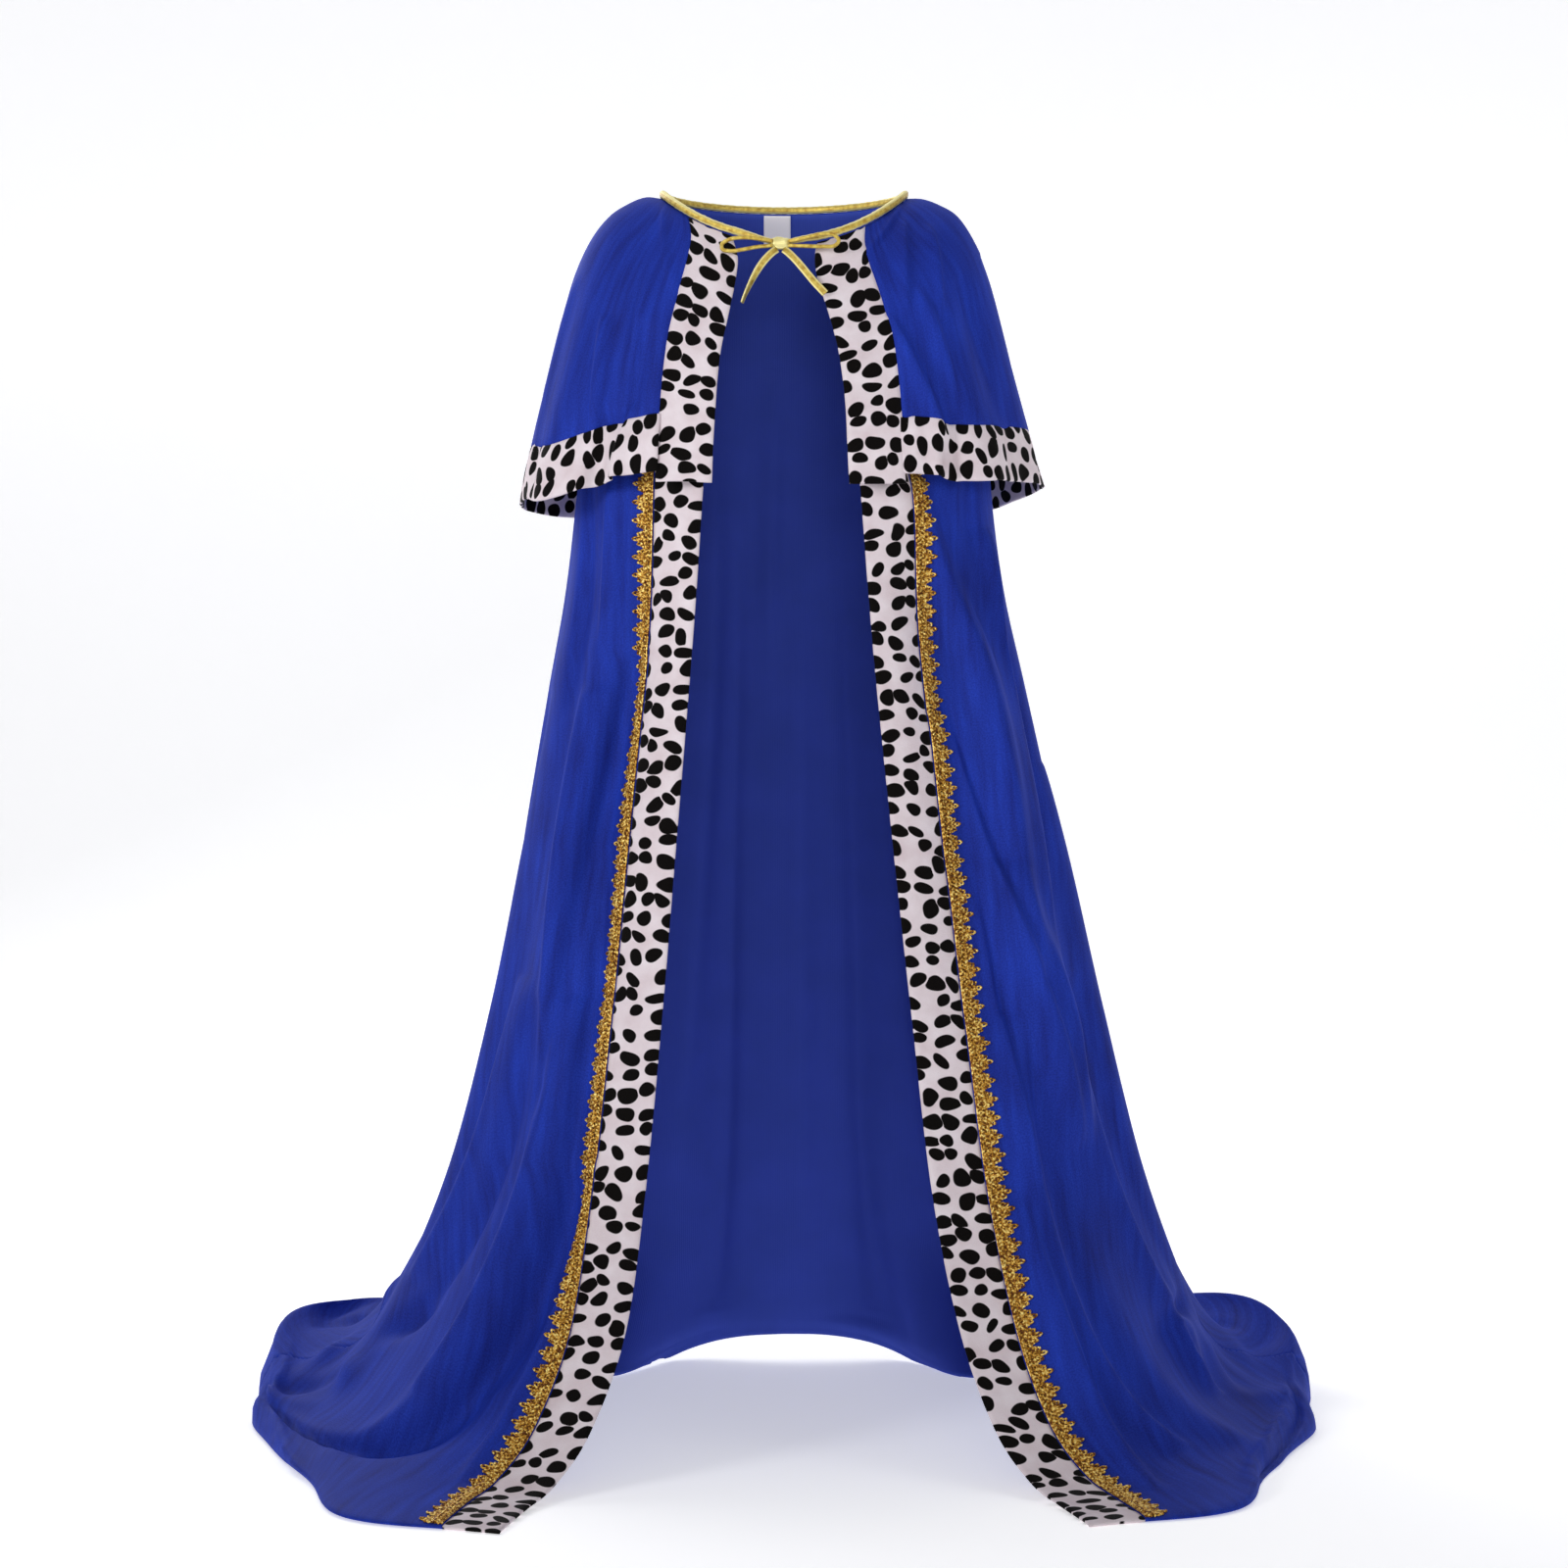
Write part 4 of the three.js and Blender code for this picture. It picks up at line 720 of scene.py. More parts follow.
wide_wanted = add(tree, "ShaderNodeMapRange", {
    "Value": chance.outputs["Blue"], "To Min": SPOT_WIDE[0], "To Max": SPOT_WIDE[1]})
long_room = add(tree, "ShaderNodeMath", {0: room.outputs["Radius"], 1: SPOT_ROOM_LONG}, operation="MULTIPLY")
wide_room = add(tree, "ShaderNodeMath", {0: room.outputs["Radius"], 1: SPOT_ROOM_WIDE}, operation="MULTIPLY")
long_half = add(tree, "ShaderNodeMath", {0: long_wanted, 1: long_room}, operation="MINIMUM")
wide_half = add(tree, "ShaderNodeMath", {0: wide_wanted, 1: wide_room}, operation="MINIMUM")
halves = add(tree, "ShaderNodeCombineXYZ", {"X": long_half, "Y": wide_half, "Z": 1.0})
scaled = add(tree, "ShaderNodeVectorMath", {0: leaning, 1: halves}, operation="DIVIDE")
flat_offset = add(tree, "ShaderNodeVectorMath", {0: scaled, 1: (1.0, 1.0, 0.0)}, operation="MULTIPLY")
radius = add(tree, "ShaderNodeVectorMath", {0: flat_offset}, operation="LENGTH")
spot = add(tree, "ShaderNodeMapRange", {
    "Value": radius.outputs["Value"], "From Min": SPOT_EDGE, "From Max": SPOT_BLACK},
    interpolation_type="SMOOTHSTEP")
mottle_and_shade = add(tree, "ShaderNodeTexNoise", {"Vector": place, "Scale": 1 / PLUSH_MOTTLE_SHADE, "Detail": 5.0})
# Its darker end is partly the ground's own mottle and partly painted shade of small creases.
ground = add(tree, "ShaderNodeMix", {
    "Factor": mottle_and_shade, "A": linear("#C9B4B9"), "B": linear("#F0E9EE")}, data_type="RGBA")
tuft = add(tree, "ShaderNodeTexNoise", {"Vector": place, "Scale": 1 / PLUSH_TUFT, "Detail": 2.0})
colour = add(tree, "ShaderNodeMix", {
    "Factor": spot, "A": ground, "B": linear("#090605")}, data_type="RGBA")
relief = add(tree, "ShaderNodeBump", {"Height": tuft, "Distance": 0.0007, "Strength": 0.5})
shader = add(tree, "ShaderNodeBsdfPrincipled", {
    "Base Color": colour, "Normal": relief, "Roughness": 0.85, "Specular IOR Level": 0.08,
    "Sheen Weight": 0.04, "Sheen Roughness": 0.45})
add(tree, "ShaderNodeOutputMaterial", {"Surface": shader})


PUFF = 0.9  # mm that a band is fuller along its middle than at its edges


def plush_strip(side, name, lines, width, thickness, map_place, above):
    """One front band, from the front edge to its seam with the panel. It is fullest along its middle: PUFF
    times the fourth root of a sine of the place across it. map_place is where its part of the pattern
    starts."""
    total = running(lines)[:, [-1]]
    from_edge = np.linspace(0, width, BAND_COLUMNS + 1)[None, :] + np.zeros_like(total)
    s = from_edge if side < 0 else (total - from_edge)[:, ::-1]
    across = from_edge if side < 0 else from_edge[:, ::-1]
    grid = at_length(lines, s)
    bulge = PUFF * np.sin(np.pi * np.clip(across / width, 0, 1)) ** 0.25
    grid = grid + normals_of(grid) * (bulge - PUFF)[..., None]
    u, v = across + map_place[0] * side, down_cloth(grid) + map_place[1]
    return dress(cloth_shell(name, grid, thickness, plush, plush, u, v, above))


BAND_THICKNESS = PLUSH - 0.2  # a little flatter than the capelet's
BAND_CLEARANCE = 0.5  # and lower on the floor than the velvet
for side, name in ((-1, "piece_front_band_right"), (1, "piece_front_band_left")):
    band = plush_strip(side, name, panel_lines, BAND_WIDTH, BAND_THICKNESS, (300.0, 0.0), BAND_CLEARANCE)

# Gold lace: a braid of metal thread with a fan of close loops along its outer edge, five to a fan, each
# tipped with a small knot, over a dense ground. It is sewn on the velvet beside the band, from under the
# capelet to the hem.
LACE_TOP = 4.0  # row of the cape where it starts
LACE_END = 2.0  # mm short of the hem
CROWN_PITCH = 16.0
# Lean in radians, foot along the braid and length of each loop of a fan.
CROWN_LOOPS = [(-0.8, -3.0, 4.2), (-0.42, -1.8, 7.2), (0.0, 0.0, 11.2), (0.42, 1.8, 7.2), (0.8, 3.0, 4.2)]
LOOP_WIDE, LOOP_FOOT = 3.0, 9.2  # width of a loop, and where all start across the lace
LOOP_LIFT, LOOP_RIPPLE = 1.1, 0.35
LOOP_POINTS_EACH = 12
FAN_FOOT, FAN_TIP, FAN_REACH = 6.6, 1.9, 8.4  # half widths and reach of the ground behind a fan's loops
FAN_START, FAN_LIFT, FAN_PUFF = 9.0, 0.55, 0.4
FAN_STEPS = 5
BRAID_MIDDLE, BRAID_SWING, BRAID_WAVE = 5.4, 3.0, 11.0
BRAID_LIFT, BRAID_RISE = 1.3, 0.7
EDGE_CORDS, EDGE_LIFT = (1.4, 9.6), 1.0  # across the lace and over the velvet
GROUND_ACROSS, GROUND_LIFT = (0.9, 3.5, 7.0, 10.2), 0.35
THREAD, LOOP_THREAD = 0.95, 0.85  # half thickness of the plaited cords, and of the edge cords and loops
THREAD_STEP, BRAID_STEP = 3.0, 1.1  # mm between the points of a straight cord and of a plaited one
THREAD_SIDES = 6
THREAD_UP = (0.13, -0.7, 0.7)  # a direction that none of the threads runs along
KNOT_LIFT, KNOT_RADIUS, KNOT_SIDES = 1.2, 1.35, 6

# Metal thread: a core wound with metallised foil. It glitters from pale yellow to brown, because each turn of
# the foil faces its own way. These glints and the brown shade between the turns are painted into its colour
# from a noise, whose grain is coarser than real thread's, so that it shows.
gold_thread, tree = finish_named("gold_metal_thread")
place = add(tree, "ShaderNodeTexCoord", {})
glints_and_grain = add(tree, "ShaderNodeTexNoise", {"Vector": place.outputs["Object"], "Scale": 420.0, "Detail": 3.0})
# Painted glints in pale yellow and painted shade in brown, scattered at random.
glint_tone = add(tree, "ShaderNodeValToRGB", {"Fac": glints_and_grain})
glint_tone.color_ramp.elements[0].position, glint_tone.color_ramp.elements[0].color = 0.4, linear("#64340A")
glint_tone.color_ramp.elements[1].position, glint_tone.color_ramp.elements[1].color = 0.64, linear("#FFE88E")
middle = glint_tone.color_ramp.elements.new(0.52)
middle.color = linear("#D0982A")
relief = add(tree, "ShaderNodeBump", {"Height": glints_and_grain, "Distance": 0.0004, "Strength": 0.7})
shader = add(tree, "ShaderNodeBsdfPrincipled", {
    "Base Color": glint_tone, "Normal": relief, "Metallic": 0.55, "Roughness": 0.4})
add(tree, "ShaderNodeOutputMaterial", {"Surface": shader})


def on_panel(panel, along, across, lift):
    """Points on a front panel: along is the length down the lace, across the distance from the band's seam,
    lift the height over the cloth, each in mm. The panel is its grid, its outward normals and its length down
    the lace, and both are read between their four nearest points."""
    grid, outward, down = panel
    row = np.clip(np.interp(along, down, np.arange(len(down))), 0, len(down) - 1.001)
    column = np.clip((across + TUCK) / LACE_COLUMN, 0, len(LACE_COLUMNS) - 1.001)
    r, c = row.astype(int), column.astype(int)
    fr, fc = (row - r)[..., None], (column - c)[..., None]

    def read(values):
        """The values at the four corners, weighted by nearness."""
        return ((values[r, c] * (1 - fc) + values[r, c + 1] * fc) * (1 - fr)
                + (values[r + 1, c] * (1 - fc) + values[r + 1, c + 1] * fc) * fr)
    return read(grid) + read(outward) * np.asarray(lift)[..., None]


def thread_along(line, radius):
    """A closed round thread carried along a line."""
    vertices, quads, _ = tape_along(line, 2 * radius, 2 * radius, THREAD_UP, THREAD_SIDES, square=1.0)
    return vertices, quads


def crown_loops(panel, centre):
    """The loops of all fans as one thread. Each goes out and back by a sine of the way along it, opens by a
    sine of twice that, and leans by its angle."""
    f = np.linspace(0, 1, LOOP_POINTS_EACH, endpoint=False)
    path_along, path_across = [], []
    for lean, foot, length in CROWN_LOOPS:
        out_by, side_by = length * np.sin(np.pi * f), LOOP_WIDE / 2 * np.sin(2 * np.pi * f)
        path_along.append(out_by * np.sin(lean) + side_by * np.cos(lean) + foot)
        path_across.append(LOOP_FOOT + out_by * np.cos(lean) - side_by * np.sin(lean))
    path_along = (centre[:, None] + np.concatenate(path_along)[None, :]).ravel()
    path_across = np.tile(np.concatenate(path_across), len(centre))
    lifts = LOOP_LIFT + LOOP_RIPPLE * np.sin(np.arange(len(path_along)) * 0.9)
    return thread_along(on_panel(panel, path_along, path_across, lifts), LOOP_THREAD)


def crown_knots(panel, centre):
    """A small ball at the tip of each loop: three rings of six points and a pole at each end."""
    tips = [(length * np.sin(lean) + foot, LOOP_FOOT + length * np.cos(lean))
            for lean, foot, length in CROWN_LOOPS]
    tips = np.array(tips)
    tip_along = (centre[:, None] + tips[:, 0]).ravel()
    knot_at = on_panel(panel, tip_along, np.tile(tips[:, 1], len(centre)), KNOT_LIFT)
    hoop = np.linspace(0, 2 * np.pi, KNOT_SIDES, endpoint=False)
    rise = np.array([-0.9, 0.0, 0.9])[:, None]
    ball = np.stack([np.cos(rise) * np.cos(hoop), np.cos(rise) * np.sin(hoop),
                     np.sin(rise) * np.ones(KNOT_SIDES)], -1).reshape(-1, 3)
    ball = np.concatenate([ball, [[0, 0, -1.0], [0, 0, 1.0]]]) * KNOT_RADIUS
    faces = tube_faces(3, KNOT_SIDES)[:, TURNED_OVER]
    faces = (np.arange(len(knot_at))[:, None, None] * len(ball) + faces).reshape(-1, 4)
    return (knot_at[:, None] + ball).reshape(-1, 3), faces


def fan_grounds(panel, centre, side):
    """The ground behind each fan: a sheet that narrows from its foot to its tip and is fullest in its middle.
    Its rows run out from the braid, so its faces are turned over to look outwards."""
    fan_out, fan_side = np.linspace(0, 1, FAN_STEPS), np.linspace(-1, 1, FAN_STEPS)
    half = FAN_FOOT + (FAN_TIP - FAN_FOOT) * fan_out
    along = centre[:, None, None] - side * half[:, None] * fan_side
    across = FAN_START + FAN_REACH * fan_out[None, :, None] + np.zeros_like(along)
    lift = FAN_LIFT + FAN_PUFF * (1 - fan_side**2) + np.zeros_like(along)
    places = np.arange(len(centre)) * FAN_STEPS**2
    faces = squares(FAN_STEPS, FAN_STEPS, places)[:, TURNED_OVER]
    return on_panel(panel, along, across, lift).reshape(-1, 3), faces


def make_lace(side, name, grid):
    """One length of lace on its panel: two straight edge cords, three cords that plait between them, the
    crowns' loops, knots and grounds, and a flat ground under the braid."""
    down = running(grid[:, 2])
    panel = (grid, normals_of(grid) * -side, down)
    start, end = np.interp(LACE_TOP, rows_t, down), down[-1] - LACE_END
    straight = np.arange(start, end, THREAD_STEP)
    fine = np.arange(start, end, BRAID_STEP)
    parts = []
    for across in EDGE_CORDS:
        line = on_panel(panel, straight, np.full_like(straight, across), EDGE_LIFT)
        parts.append(thread_along(line, LOOP_THREAD))
    for turn in (0.0, 2.09, 4.19):
        phase = 2 * np.pi * fine / BRAID_WAVE + turn
        lift = BRAID_LIFT + BRAID_RISE * np.sin(2 * phase)
        braid = on_panel(panel, fine, BRAID_MIDDLE + BRAID_SWING * np.sin(phase), lift)
        parts.append(thread_along(braid, THREAD))
    crowns = int((end - start) / CROWN_PITCH)
    centre = start + (np.arange(crowns) + 0.5) * ((end - start) / crowns)
    parts += [crown_loops(panel, centre), crown_knots(panel, centre), fan_grounds(panel, centre, side)]
    ground_along, ground_across = np.meshgrid(straight, np.array(GROUND_ACROSS)[::-side], indexing="ij")
    ground = on_panel(panel, ground_along, ground_across, np.full(ground_along.shape, GROUND_LIFT))
    parts.append((ground.reshape(-1, 3), squares(*ground_along.shape)))
    starts = np.cumsum([0] + [len(vertices) for vertices, _ in parts])
    vertices = np.concatenate([vertices for vertices, _ in parts])
    quads = np.concatenate([faces + first for (_, faces), first in zip(parts, starts)])
    return dress(mesh_piece(name, vertices, quads, [gold_thread]))


lace_right = make_lace(-1, "piece_gold_lace_right", front_right_grid)
lace_left = make_lace(1, "piece_gold_lace_left", front_left_grid)

# The shoulder capelet: the same velvet, flared over the shoulders and open in front, lower at the wearer's
# right. Its own section rows run from the neck to its hem.
CAPELET_SECTIONS = [
    [112.8, 112.8, 1107.2, 1107.2, 76.3, 1104.7, -5, 2.0, 2.0],
    [127, 127, 1108.6, 1107, 85, 1098, -5, 2.0, 2.0],
    [143, 143, 1102.4, 1101.2, 93, 1087, -5, 2.05, 2.05],
    [160, 159, 1091, 1091, 100, 1070, -5, 2.1, 2.1],
    [176.5, 173, 1070, 1070, 107, 1044, -4, 2.15, 2.15],
    [191, 186, 1039, 1039, 112, 1011, -3, 2.2, 2.2],
    [202, 196, 1003, 1003, 116, 973, -2, 2.2, 2.2],
    [216, 208, 950, 952, 121, 925, -2, 2.2, 2.2],
    [230, 221, 895, 900, 125, 873, -2, 2.2, 2.2],
    [243, 235, 834, 846, 128, 821, -2, 2.2, 2.2],
]
CAPELET_EDGE_R = [
    [47, -85.5, 1062.5], [42, -95, 1043], [43.5, -101, 1023], [47, -107, 1004], [51, -113, 984],
    [56, -119, 960], [59, -124, 935], [61, -129, 905], [63, -132, 870], [64, -135, 836],
]
CAPELET_EDGE_L = [
    [30, -88.5, 1056.2], [28, -96, 1040], [30.5, -102, 1022], [36, -108, 1004], [42, -114, 984],
    [48, -120, 960], [52, -125, 935], [55, -130, 905], [56.5, -133, 870], [58, -136, 838],
]
CAPELET_FOLDS = [
    [3, 9, 30, -0.79, -0.8, 0.035, -6], [3, 9, 30, -0.7, -0.7, 0.04, 5], [4, 9, 30, -0.6, -0.6, 0.035, -5],
    [3, 9, 30, -0.5, -0.49, 0.04, 6], [3, 9, 30, -0.38, -0.36, 0.04, -6], [3, 9, 30, -0.24, -0.22, 0.04, 5],
    [3, 9, 30, -0.1, -0.1, 0.04, -5], [3, 9, 30, 0.04, 0.04, 0.04, 5], [3, 9, 30, 0.17, 0.18, 0.04, -5],
    [3, 9, 30, 0.3, 0.31, 0.04, 6], [3, 9, 30, 0.43, 0.44, 0.04, -6], [3, 9, 30, 0.55, 0.56, 0.04, 5],
    [4, 9, 30, 0.66, 0.66, 0.03, -5], [3, 9, 30, 0.78, 0.76, 0.035, 5],
]
# Where its lower part hangs higher or lower: the same numbers as for the cape's heaps.
CAPELET_DROPS = [
    [5, 9, 30, -0.93, 0.1, 5], [5, 9, 30, -0.7, 0.07, -9], [5, 9, 30, -0.42, 0.14, -10],
    [5, 9, 30, 0.4, 0.13, -10], [5, 9, 30, 0.8, 0.06, -4],
]
CAPELET_CREASES = [
    [0.2, 1.6, 0.65, 0.86, 0.0, 12, 3.5], [1.2, 4.6, 0.70, 0.84, 0.02, 9, 5],
    [2.2, 5.2, 0.66, 0.78, 0.0, 9, 4], [4.0, 7.0, 0.80, 0.79, 0.0, 11, 5],
    [4.4, 8.2, 0.885, 0.81, 0.01, 12, 8], [4.5, 8.0, 0.70, 0.69, 0.0, 16, -6],
    [7.3, 9.9, 0.805, 0.825, 0.0, 7, -7], [7.6, 10.2, 0.835, 0.86, 0.0, 9, 6],
    [5.4, 8.4, -0.74, -0.785, 0.0, 13, 8], [3.5, 6.5, -0.80, -0.83, 0.0, 10, 4],
    [5.0, 8.0, -0.84, -0.85, 0.0, 11, -5], [0.6, 3.6, -0.69, -0.87, 0.0, 10, 3],
    [7.2, 10.2, -0.845, -0.82, 0.0, 8, 10], [7.4, 10.2, -0.80, -0.78, 0.0, 11, -7],
    [3.0, 8.0, -0.45, -0.47, 0.01, 14, -6], [3.5, 8.5, -0.2, -0.19, 0.0, 13, 5],
    [4.0, 8.5, 0.08, 0.1, 0.0, 12, -5], [3.0, 8.0, 0.35, 0.36, -0.01, 14, 6],
    [5.0, 9.0, -0.6, -0.62, 0.0, 11, 5], [4.5, 9.0, 0.55, 0.57, 0.0, 12, -5],
    [1.5, 5.0, 0.3, 0.33, 0.0, 10, 3], [2.0, 5.5, -0.33, -0.36, 0.0, 10, 3],
]
CAPELET_BAND_WIDTH = 50.0
HEM_BAND_HEIGHT = 51.0
HEM_RISE, HEM_RISE_WIDTH = 9.0, 0.1  # how far the hem ends above the front bands' ends, beside them
CAPELET_COLUMNS = 230
CAPELET_ROWS = 60
CAPELET_TUCK_RUN = 3.0  # mm over which the velvet dips under the bands
CAPELET_ROUND = 700.0  # mm round the capelet at mid height, nearly
CAPELET_MAP_DOWN = 40.0  # mm down to its own part of the pile's pattern

capelet_last = len(CAPELET_SECTIONS) - 1
capelet_t = np.linspace(0.0, capelet_last, capelet_last * LINES_A_ROW + 1)
capelet_lines = drape(
    capelet_t, CAPELET_SECTIONS, CAPELET_EDGE_R, CAPELET_EDGE_L, CAPELET_FOLDS, CAPELET_DROPS,
    CAPELET_CREASES)
capelet_total = running(capelet_lines)[:, [-1]]
body_share = np.linspace(0, 1, CAPELET_COLUMNS + 1)
from_side = np.minimum(body_share, 1 - body_share)
body_s = CAPELET_BAND_WIDTH - TUCK + (capelet_total - 2 * (CAPELET_BAND_WIDTH - TUCK)) * body_share
body_columns = at_length(capelet_lines, body_s).transpose(1, 0, 2)
hem_rise = HEM_RISE * (np.exp(-(body_share / HEM_RISE_WIDTH) ** 2)
                       + np.exp(-((1 - body_share) / HEM_RISE_WIDTH) ** 2))
column_length = running(body_columns)[:, -1] - hem_rise


def down_columns(wanted):
    """Points of the capelet at the given lengths down its columns, all columns at once."""
    return at_length(body_columns, wanted.T).transpose(1, 0, 2)


body_end = column_length - HEM_BAND_HEIGHT + TUCK
body_down = body_end * np.linspace(0, 1, CAPELET_ROWS + 1)[:, None]
body_grid = down_columns(body_down)
tucked = np.clip(1 - (body_end - body_down) / CAPELET_TUCK_RUN, 0, 1)
tucked = np.maximum(tucked, np.clip(1 - from_side * CAPELET_ROUND / CAPELET_TUCK_RUN, 0, 1)[None, :])
body_grid = body_grid - normals_of(body_grid) * (tucked * TUCK_DROP)[..., None]
body_u = np.repeat(body_s[-1:], CAPELET_ROWS + 1, axis=0)
body_v = body_down + CAPELET_MAP_DOWN
capelet = cloth_shell("piece_capelet", body_grid, CLOTH, velvet, reverse, body_u, body_v)
dress(capelet)

# The capelet's hem band: a strip of the spotted plush, a little longer than the hem, eased on so that it
# ripples in small uneven gathers. A gather is a bell across, with its own place, width, depth, lean and
# fullest height.
HEM_BAND_ROWS = 22
HEM_PUFF, HEM_SINK = 1.4, 0.6  # mm that the strip swells along its middle, and that its edges lie in
GATHER_SEED = 7
GATHERS = 42
GATHER_WIDTH = (0.004, 0.009)  # as a share of the hem
GATHER_DEPTH = (-3.4, 3.0)
GATHER_LEAN = (-0.012, 0.012)
GATHER_FULLEST = (0.1, 0.9)
GATHER_LEAST = 0.35  # what is left of a gather's depth where it is weakest
fall = np.linspace(0, 1, HEM_BAND_ROWS + 1)[:, None]
hem_down = column_length - HEM_BAND_HEIGHT + HEM_BAND_HEIGHT * fall
hem_grid = down_columns(hem_down)
chance = np.random.default_rng(GATHER_SEED)
gather_at = np.sort(chance.uniform(0, 1, GATHERS))
gather_width = chance.uniform(*GATHER_WIDTH, GATHERS)
gather_deep = chance.uniform(*GATHER_DEPTH, GATHERS)
gather_lean = chance.uniform(*GATHER_LEAN, GATHERS)
gather_top = chance.uniform(*GATHER_FULLEST, GATHERS)
line_at = gather_at + gather_lean * (fall[..., None] - 0.5)
strength = GATHER_LEAST + (1 - GATHER_LEAST) * np.cos((fall[..., None] - gather_top) * np.pi / 2) ** 2
gathers = np.exp(-((body_share[None, :, None] - line_at) / gather_width) ** 2)
ripple = (gather_deep * strength * gathers).sum(-1)
bulge = HEM_PUFF * np.sin(np.pi * fall) ** 0.5 - HEM_SINK
hem_grid = hem_grid + normals_of(hem_grid) * (ripple + bulge)[..., None]
hem_u = np.repeat(body_s[-1:], HEM_BAND_ROWS + 1, axis=0)
hem_band = cloth_shell("piece_capelet_hem_band", hem_grid, PLUSH, plush, plush, hem_down - hem_down[0], hem_u)
dress(hem_band)

# The capelet's front bands: the same plush, down both front edges over the ends of the hem band.
for side, name in ((-1, "piece_capelet_front_band_right"), (1, "piece_capelet_front_band_left")):
    band = plush_strip(
        side, name, capelet_lines[::5], CAPELET_BAND_WIDTH, PLUSH, (160.0, 90.0), FLOOR_CLEARANCE)

# The neck binding: gold tape folded over the raw neck edges of cape and capelet and stitched down; its two
# ends run on to the knot in front.
# Half width, side height, back's depth and height and depth of the widest place; then each front end's place.
NECK_HALF, NECK_SIDE_H, NECK_BACK_Y, NECK_BACK_H, NECK_MIDDLE_Y = 111.2, 1111.3, 75.0, 1108.8, -5.0
NECK_EDGES = {-1: (47, -84, 1067.6), 1: (30, -87, 1061.2)}
BINDING_WIDTH, BINDING_HEIGHT = 5.4, 6.6
BINDING_POINTS, BINDING_SIDES = 420, 20
BINDING_TAPER, BINDING_TAPER_RUN = 0.7, 90.0  # its size at both ends, and the mm over which it gains one
BINDING_PUCKERS = ((0.035, 0.9, 0.0), (0.03, 0.37, 1.0))  # depth, radians a mm and start of the ripples
BINDING_END_RIGHT = [[-10.8, -93.6, 1055.6], [-26, -92, 1060], [-38, -89, 1064.2]]
BINDING_END_LEFT = [[23, -90, 1059.6], [14, -92.5, 1057.6], [4.5, -93.6, 1055.6]]


def neck_half(side):
    """Half of the neck ring, from the back's middle to the front edge: an ellipse in plan whose height goes
    to the back's by cos(a)^2 and to the edge's by cos(a)^FRONT_FALL."""
    x, y, height = NECK_EDGES[side]
    sin_edge = x / NECK_HALF
    cos_edge = np.sqrt(1 - sin_edge**2)
    angle = np.linspace(0, np.pi - np.arcsin(sin_edge), 60)
    sin, cos = np.sin(angle), np.abs(np.cos(angle))
    behind = angle < np.pi / 2
    ring_y = np.where(behind, NECK_MIDDLE_Y + (NECK_BACK_Y - NECK_MIDDLE_Y) * cos,
                      NECK_MIDDLE_Y - (NECK_MIDDLE_Y - y) / cos_edge * cos)
    change = np.where(behind, (NECK_BACK_H - NECK_SIDE_H) * cos**2,
                      (height - NECK_SIDE_H) * (cos / cos_edge) ** FRONT_FALL)
    return np.stack([side * NECK_HALF * sin, ring_y, NECK_SIDE_H + change], axis=1)


neck_path = np.concatenate([BINDING_END_RIGHT, neck_half(-1)[::-1], neck_half(1)[1:], BINDING_END_LEFT])
neck_line = smooth_line(from_floor(neck_path), BINDING_POINTS)
neck_length = running(neck_line)
from_end = np.minimum(neck_length, neck_length[-1] - neck_length)
taper = np.clip(BINDING_TAPER + from_end / BINDING_TAPER_RUN, 0, 1)
pucker = 1 + sum(deep * np.sin(neck_length * rate + start) for deep, rate, start in BINDING_PUCKERS)
gold_piece("piece_neck_binding", tape_along(
    neck_line, BINDING_WIDTH * taper, BINDING_HEIGHT * taper * pucker, (0, 0, 1), BINDING_SIDES,
    broad="height"))

# The bow: one loop to each side of the knot, of the same tape folded narrow, and the knot wound over them.
LOOP_WIDTH, LOOP_DEPTH = 3.4, 4.6
LOOP_POINTS, LOOP_SIDES, LOOP_GROOVE = 90, 14, 0.25
LOOP_RIGHT = [
    [-10.6, -98.2, 1055.4], [-22, -99.5, 1057.2], [-34, -100.5, 1058.2], [-47, -100.5, 1057.0],
    [-55, -100, 1052.5], [-54.5, -99.5, 1047.8], [-47, -99.5, 1046.4], [-37, -100, 1047.6],
    [-24, -99.5, 1050.0], [-10.4, -98.2, 1051.4],
]
LOOP_LEFT = [
    [4.6, -98.2, 1055.4], [12, -99.5, 1056.6], [22, -100.5, 1058.8], [35, -101, 1061.6],
    [44.5, -100.5, 1060.4], [48.6, -100, 1055.6], [45, -99.5, 1051.2], [34, -99.5, 1050.4],
    [20, -99.5, 1050.8], [4, -98.2, 1051.4],
]
KNOT_PLACE, KNOT_HALF = (-3.2, -95.3, 1053.6), (8.6, 4.6, 5.6)
KNOT_SQUARE = 0.7
KNOT_TURNS, KNOT_RISES, KNOT_END = 48, 25, 1.45  # points round it and up it, and radians to its ends

for name, points in (("piece_tie_loop_right", LOOP_RIGHT), ("piece_tie_loop_left", LOOP_LEFT)):
    loop_line = smooth_line(from_floor(points), LOOP_POINTS)
    gold_piece(name, tape_along(loop_line, LOOP_WIDTH, LOOP_DEPTH, (0, -1, 0), LOOP_SIDES, LOOP_GROOVE))


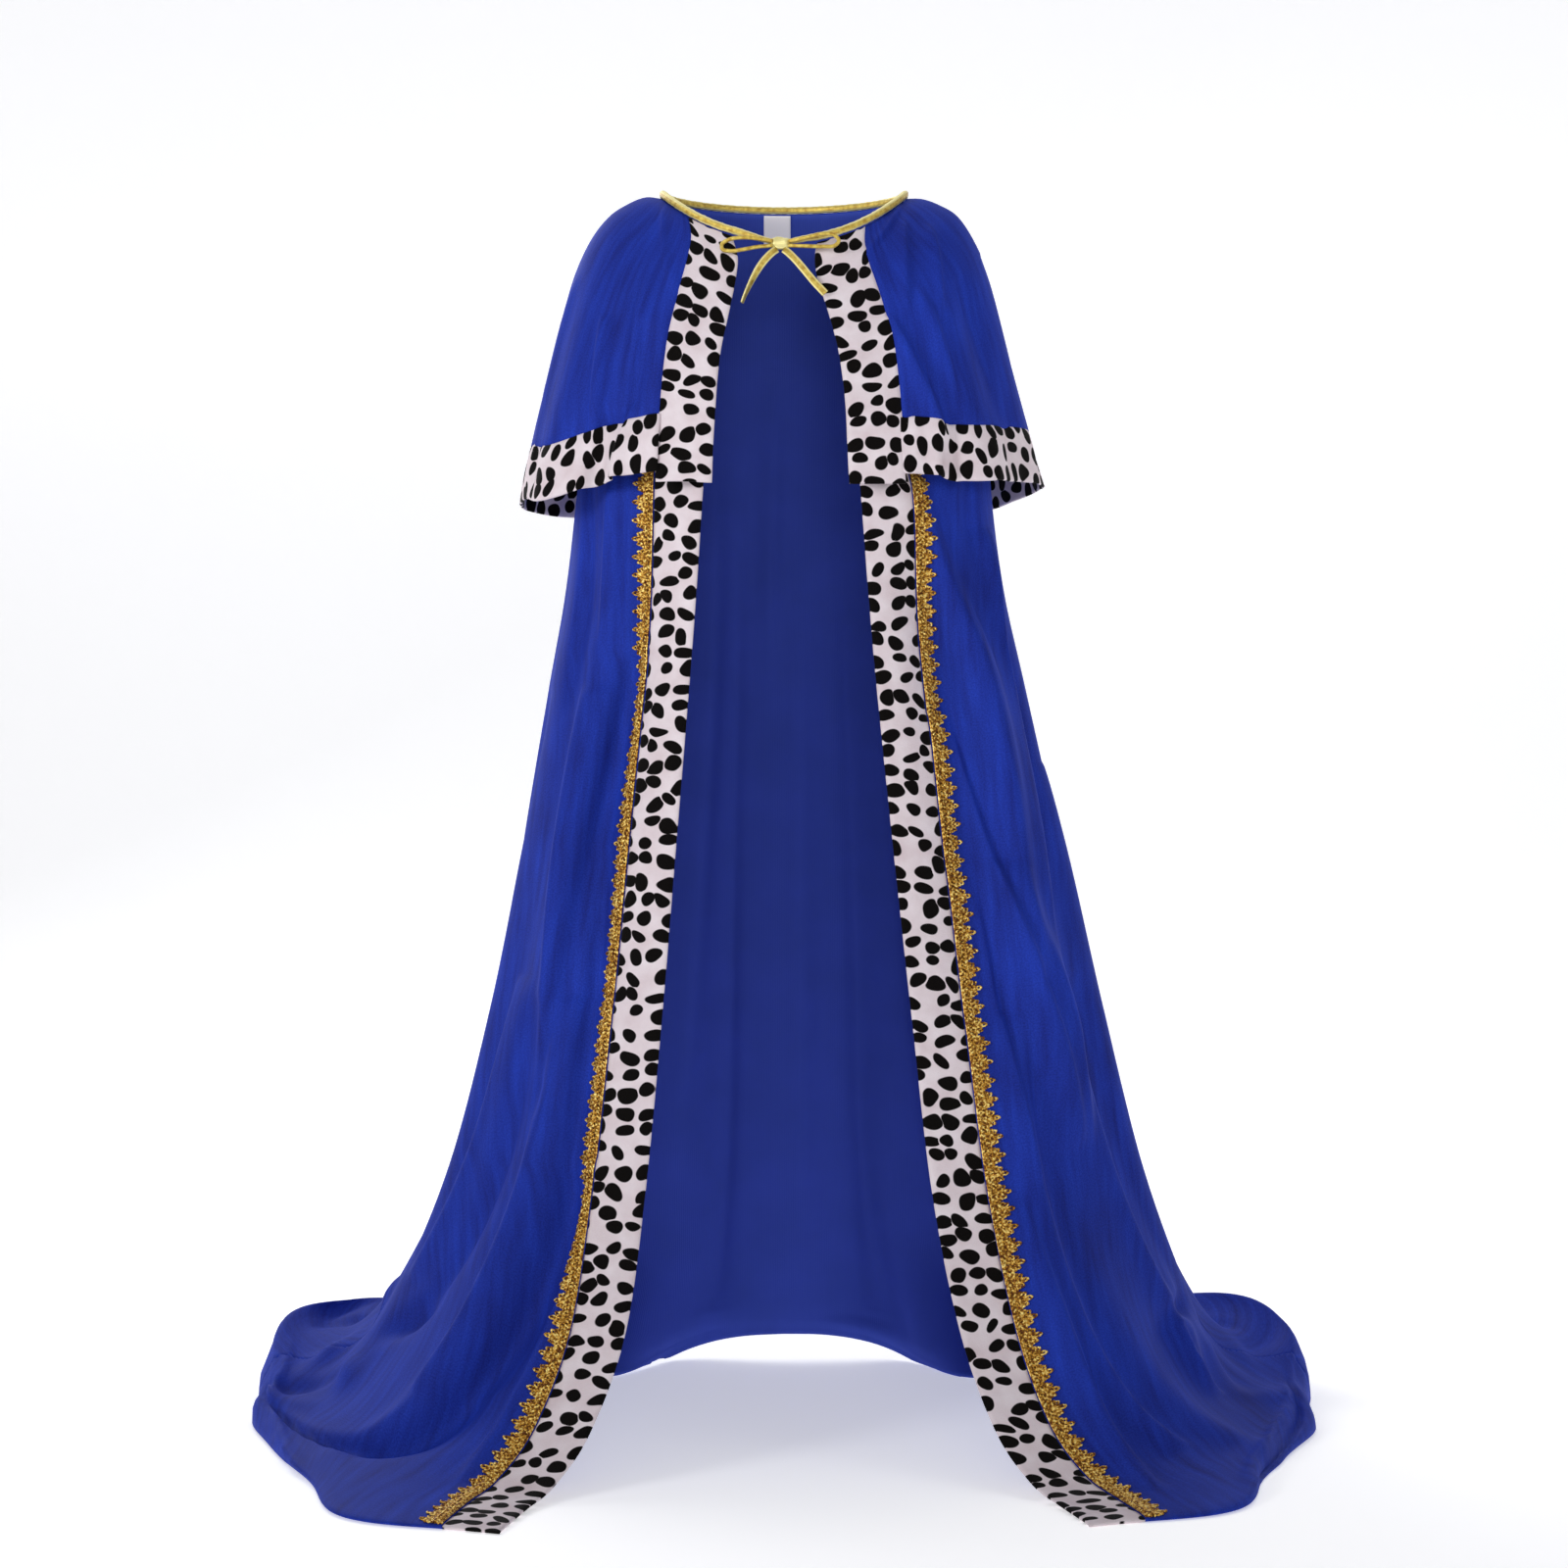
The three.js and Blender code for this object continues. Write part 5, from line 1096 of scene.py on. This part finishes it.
def wound_knot():
    """The knot: an ellipsoid whose surface rises and falls as the turns of tape cross it, steeper one way
    over its front and the other way beside. Its map takes it as 8 mm round its middle and 6 mm up."""
    turn, rise = np.meshgrid(np.linspace(0, 2 * np.pi, KNOT_TURNS, endpoint=False),
                             np.linspace(-KNOT_END, KNOT_END, KNOT_RISES))
    sphere = np.stack([np.cos(rise) * np.cos(turn), np.cos(rise) * np.sin(turn), np.sin(rise)], axis=-1)
    wraps = 0.1 * np.abs(np.sin(4.2 * sphere[..., 0] + 2.4 * sphere[..., 2])) - 0.06
    wraps += 0.06 * np.sin(7 * sphere[..., 2] - 3 * sphere[..., 0])
    sphere = np.sign(sphere) * np.abs(sphere) ** KNOT_SQUARE
    grid = sphere * (1 + wraps)[..., None] * KNOT_HALF + from_floor(KNOT_PLACE)
    ends = np.stack([grid[0].mean(0), grid[-1].mean(0)])
    uv = np.stack([turn * 8, rise * 6], axis=-1).reshape(-1, 2)
    faces = tube_faces(*turn.shape)[:, TURNED_OVER]
    return np.concatenate([grid.reshape(-1, 3), ends]), faces, np.concatenate([uv, [[0, -9], [0, 9]]])


gold_piece("piece_tie_knot", wound_knot())

# The label: a short piece of white satin tape, caught in the binding at the back of the neck. It is plain.
LABEL_WIDTH, LABEL_LENGTH, LABEL_TOP, LABEL_CENTRE = 25.0, 31.0, 0.8, -6.5
LABEL_THICKNESS, LABEL_CLEARANCE = 0.8, 0.4
LABEL_ROWS, LABEL_COLUMNS = 24, 16
SATIN_RIBS = 0.35  # pattern scale that puts a rib every 0.9 mm

# Satin tape: long floating threads lie flat, so it is white and smooth with faint cross ribs.
satin, tree = finish_named("white_satin_tape")
place = add(tree, "ShaderNodeUVMap", {}, uv_map="cloth_mm")
ribs = add(tree, "ShaderNodeTexWave", {
    "Vector": place, "Scale": SATIN_RIBS, "Distortion": 0.3}, bands_direction="Y")
relief = add(tree, "ShaderNodeBump", {"Height": ribs.outputs["Fac"], "Distance": 0.0001, "Strength": 0.3})
shader = add(tree, "ShaderNodeBsdfPrincipled", {
    "Base Color": linear("#FFFBFD"), "Normal": relief, "Roughness": 0.5})
add(tree, "ShaderNodeOutputMaterial", {"Surface": shader})
label_down = np.linspace(LABEL_TOP, LABEL_TOP + LABEL_LENGTH, LABEL_ROWS + 1)
label_t = np.interp(label_down, running(cape_lines[:, HALF_STEPS]), cape_t)
label_lines = drape(label_t, *cape_shape)
label_x = np.linspace(LABEL_CENTRE - LABEL_WIDTH / 2, LABEL_CENTRE + LABEL_WIDTH / 2, LABEL_COLUMNS + 1)
label_grid = at_length(label_lines, running(label_lines)[:, [HALF_STEPS]] + label_x)
label_grid = label_grid - normals_of(label_grid) * (CLOTH + LABEL_CLEARANCE)
label_u = np.repeat(label_x[None, :], LABEL_ROWS + 1, axis=0)
label = cloth_shell("piece_label", label_grid, LABEL_THICKNESS, satin, satin, label_u, down_cloth(label_grid))
dress(label)
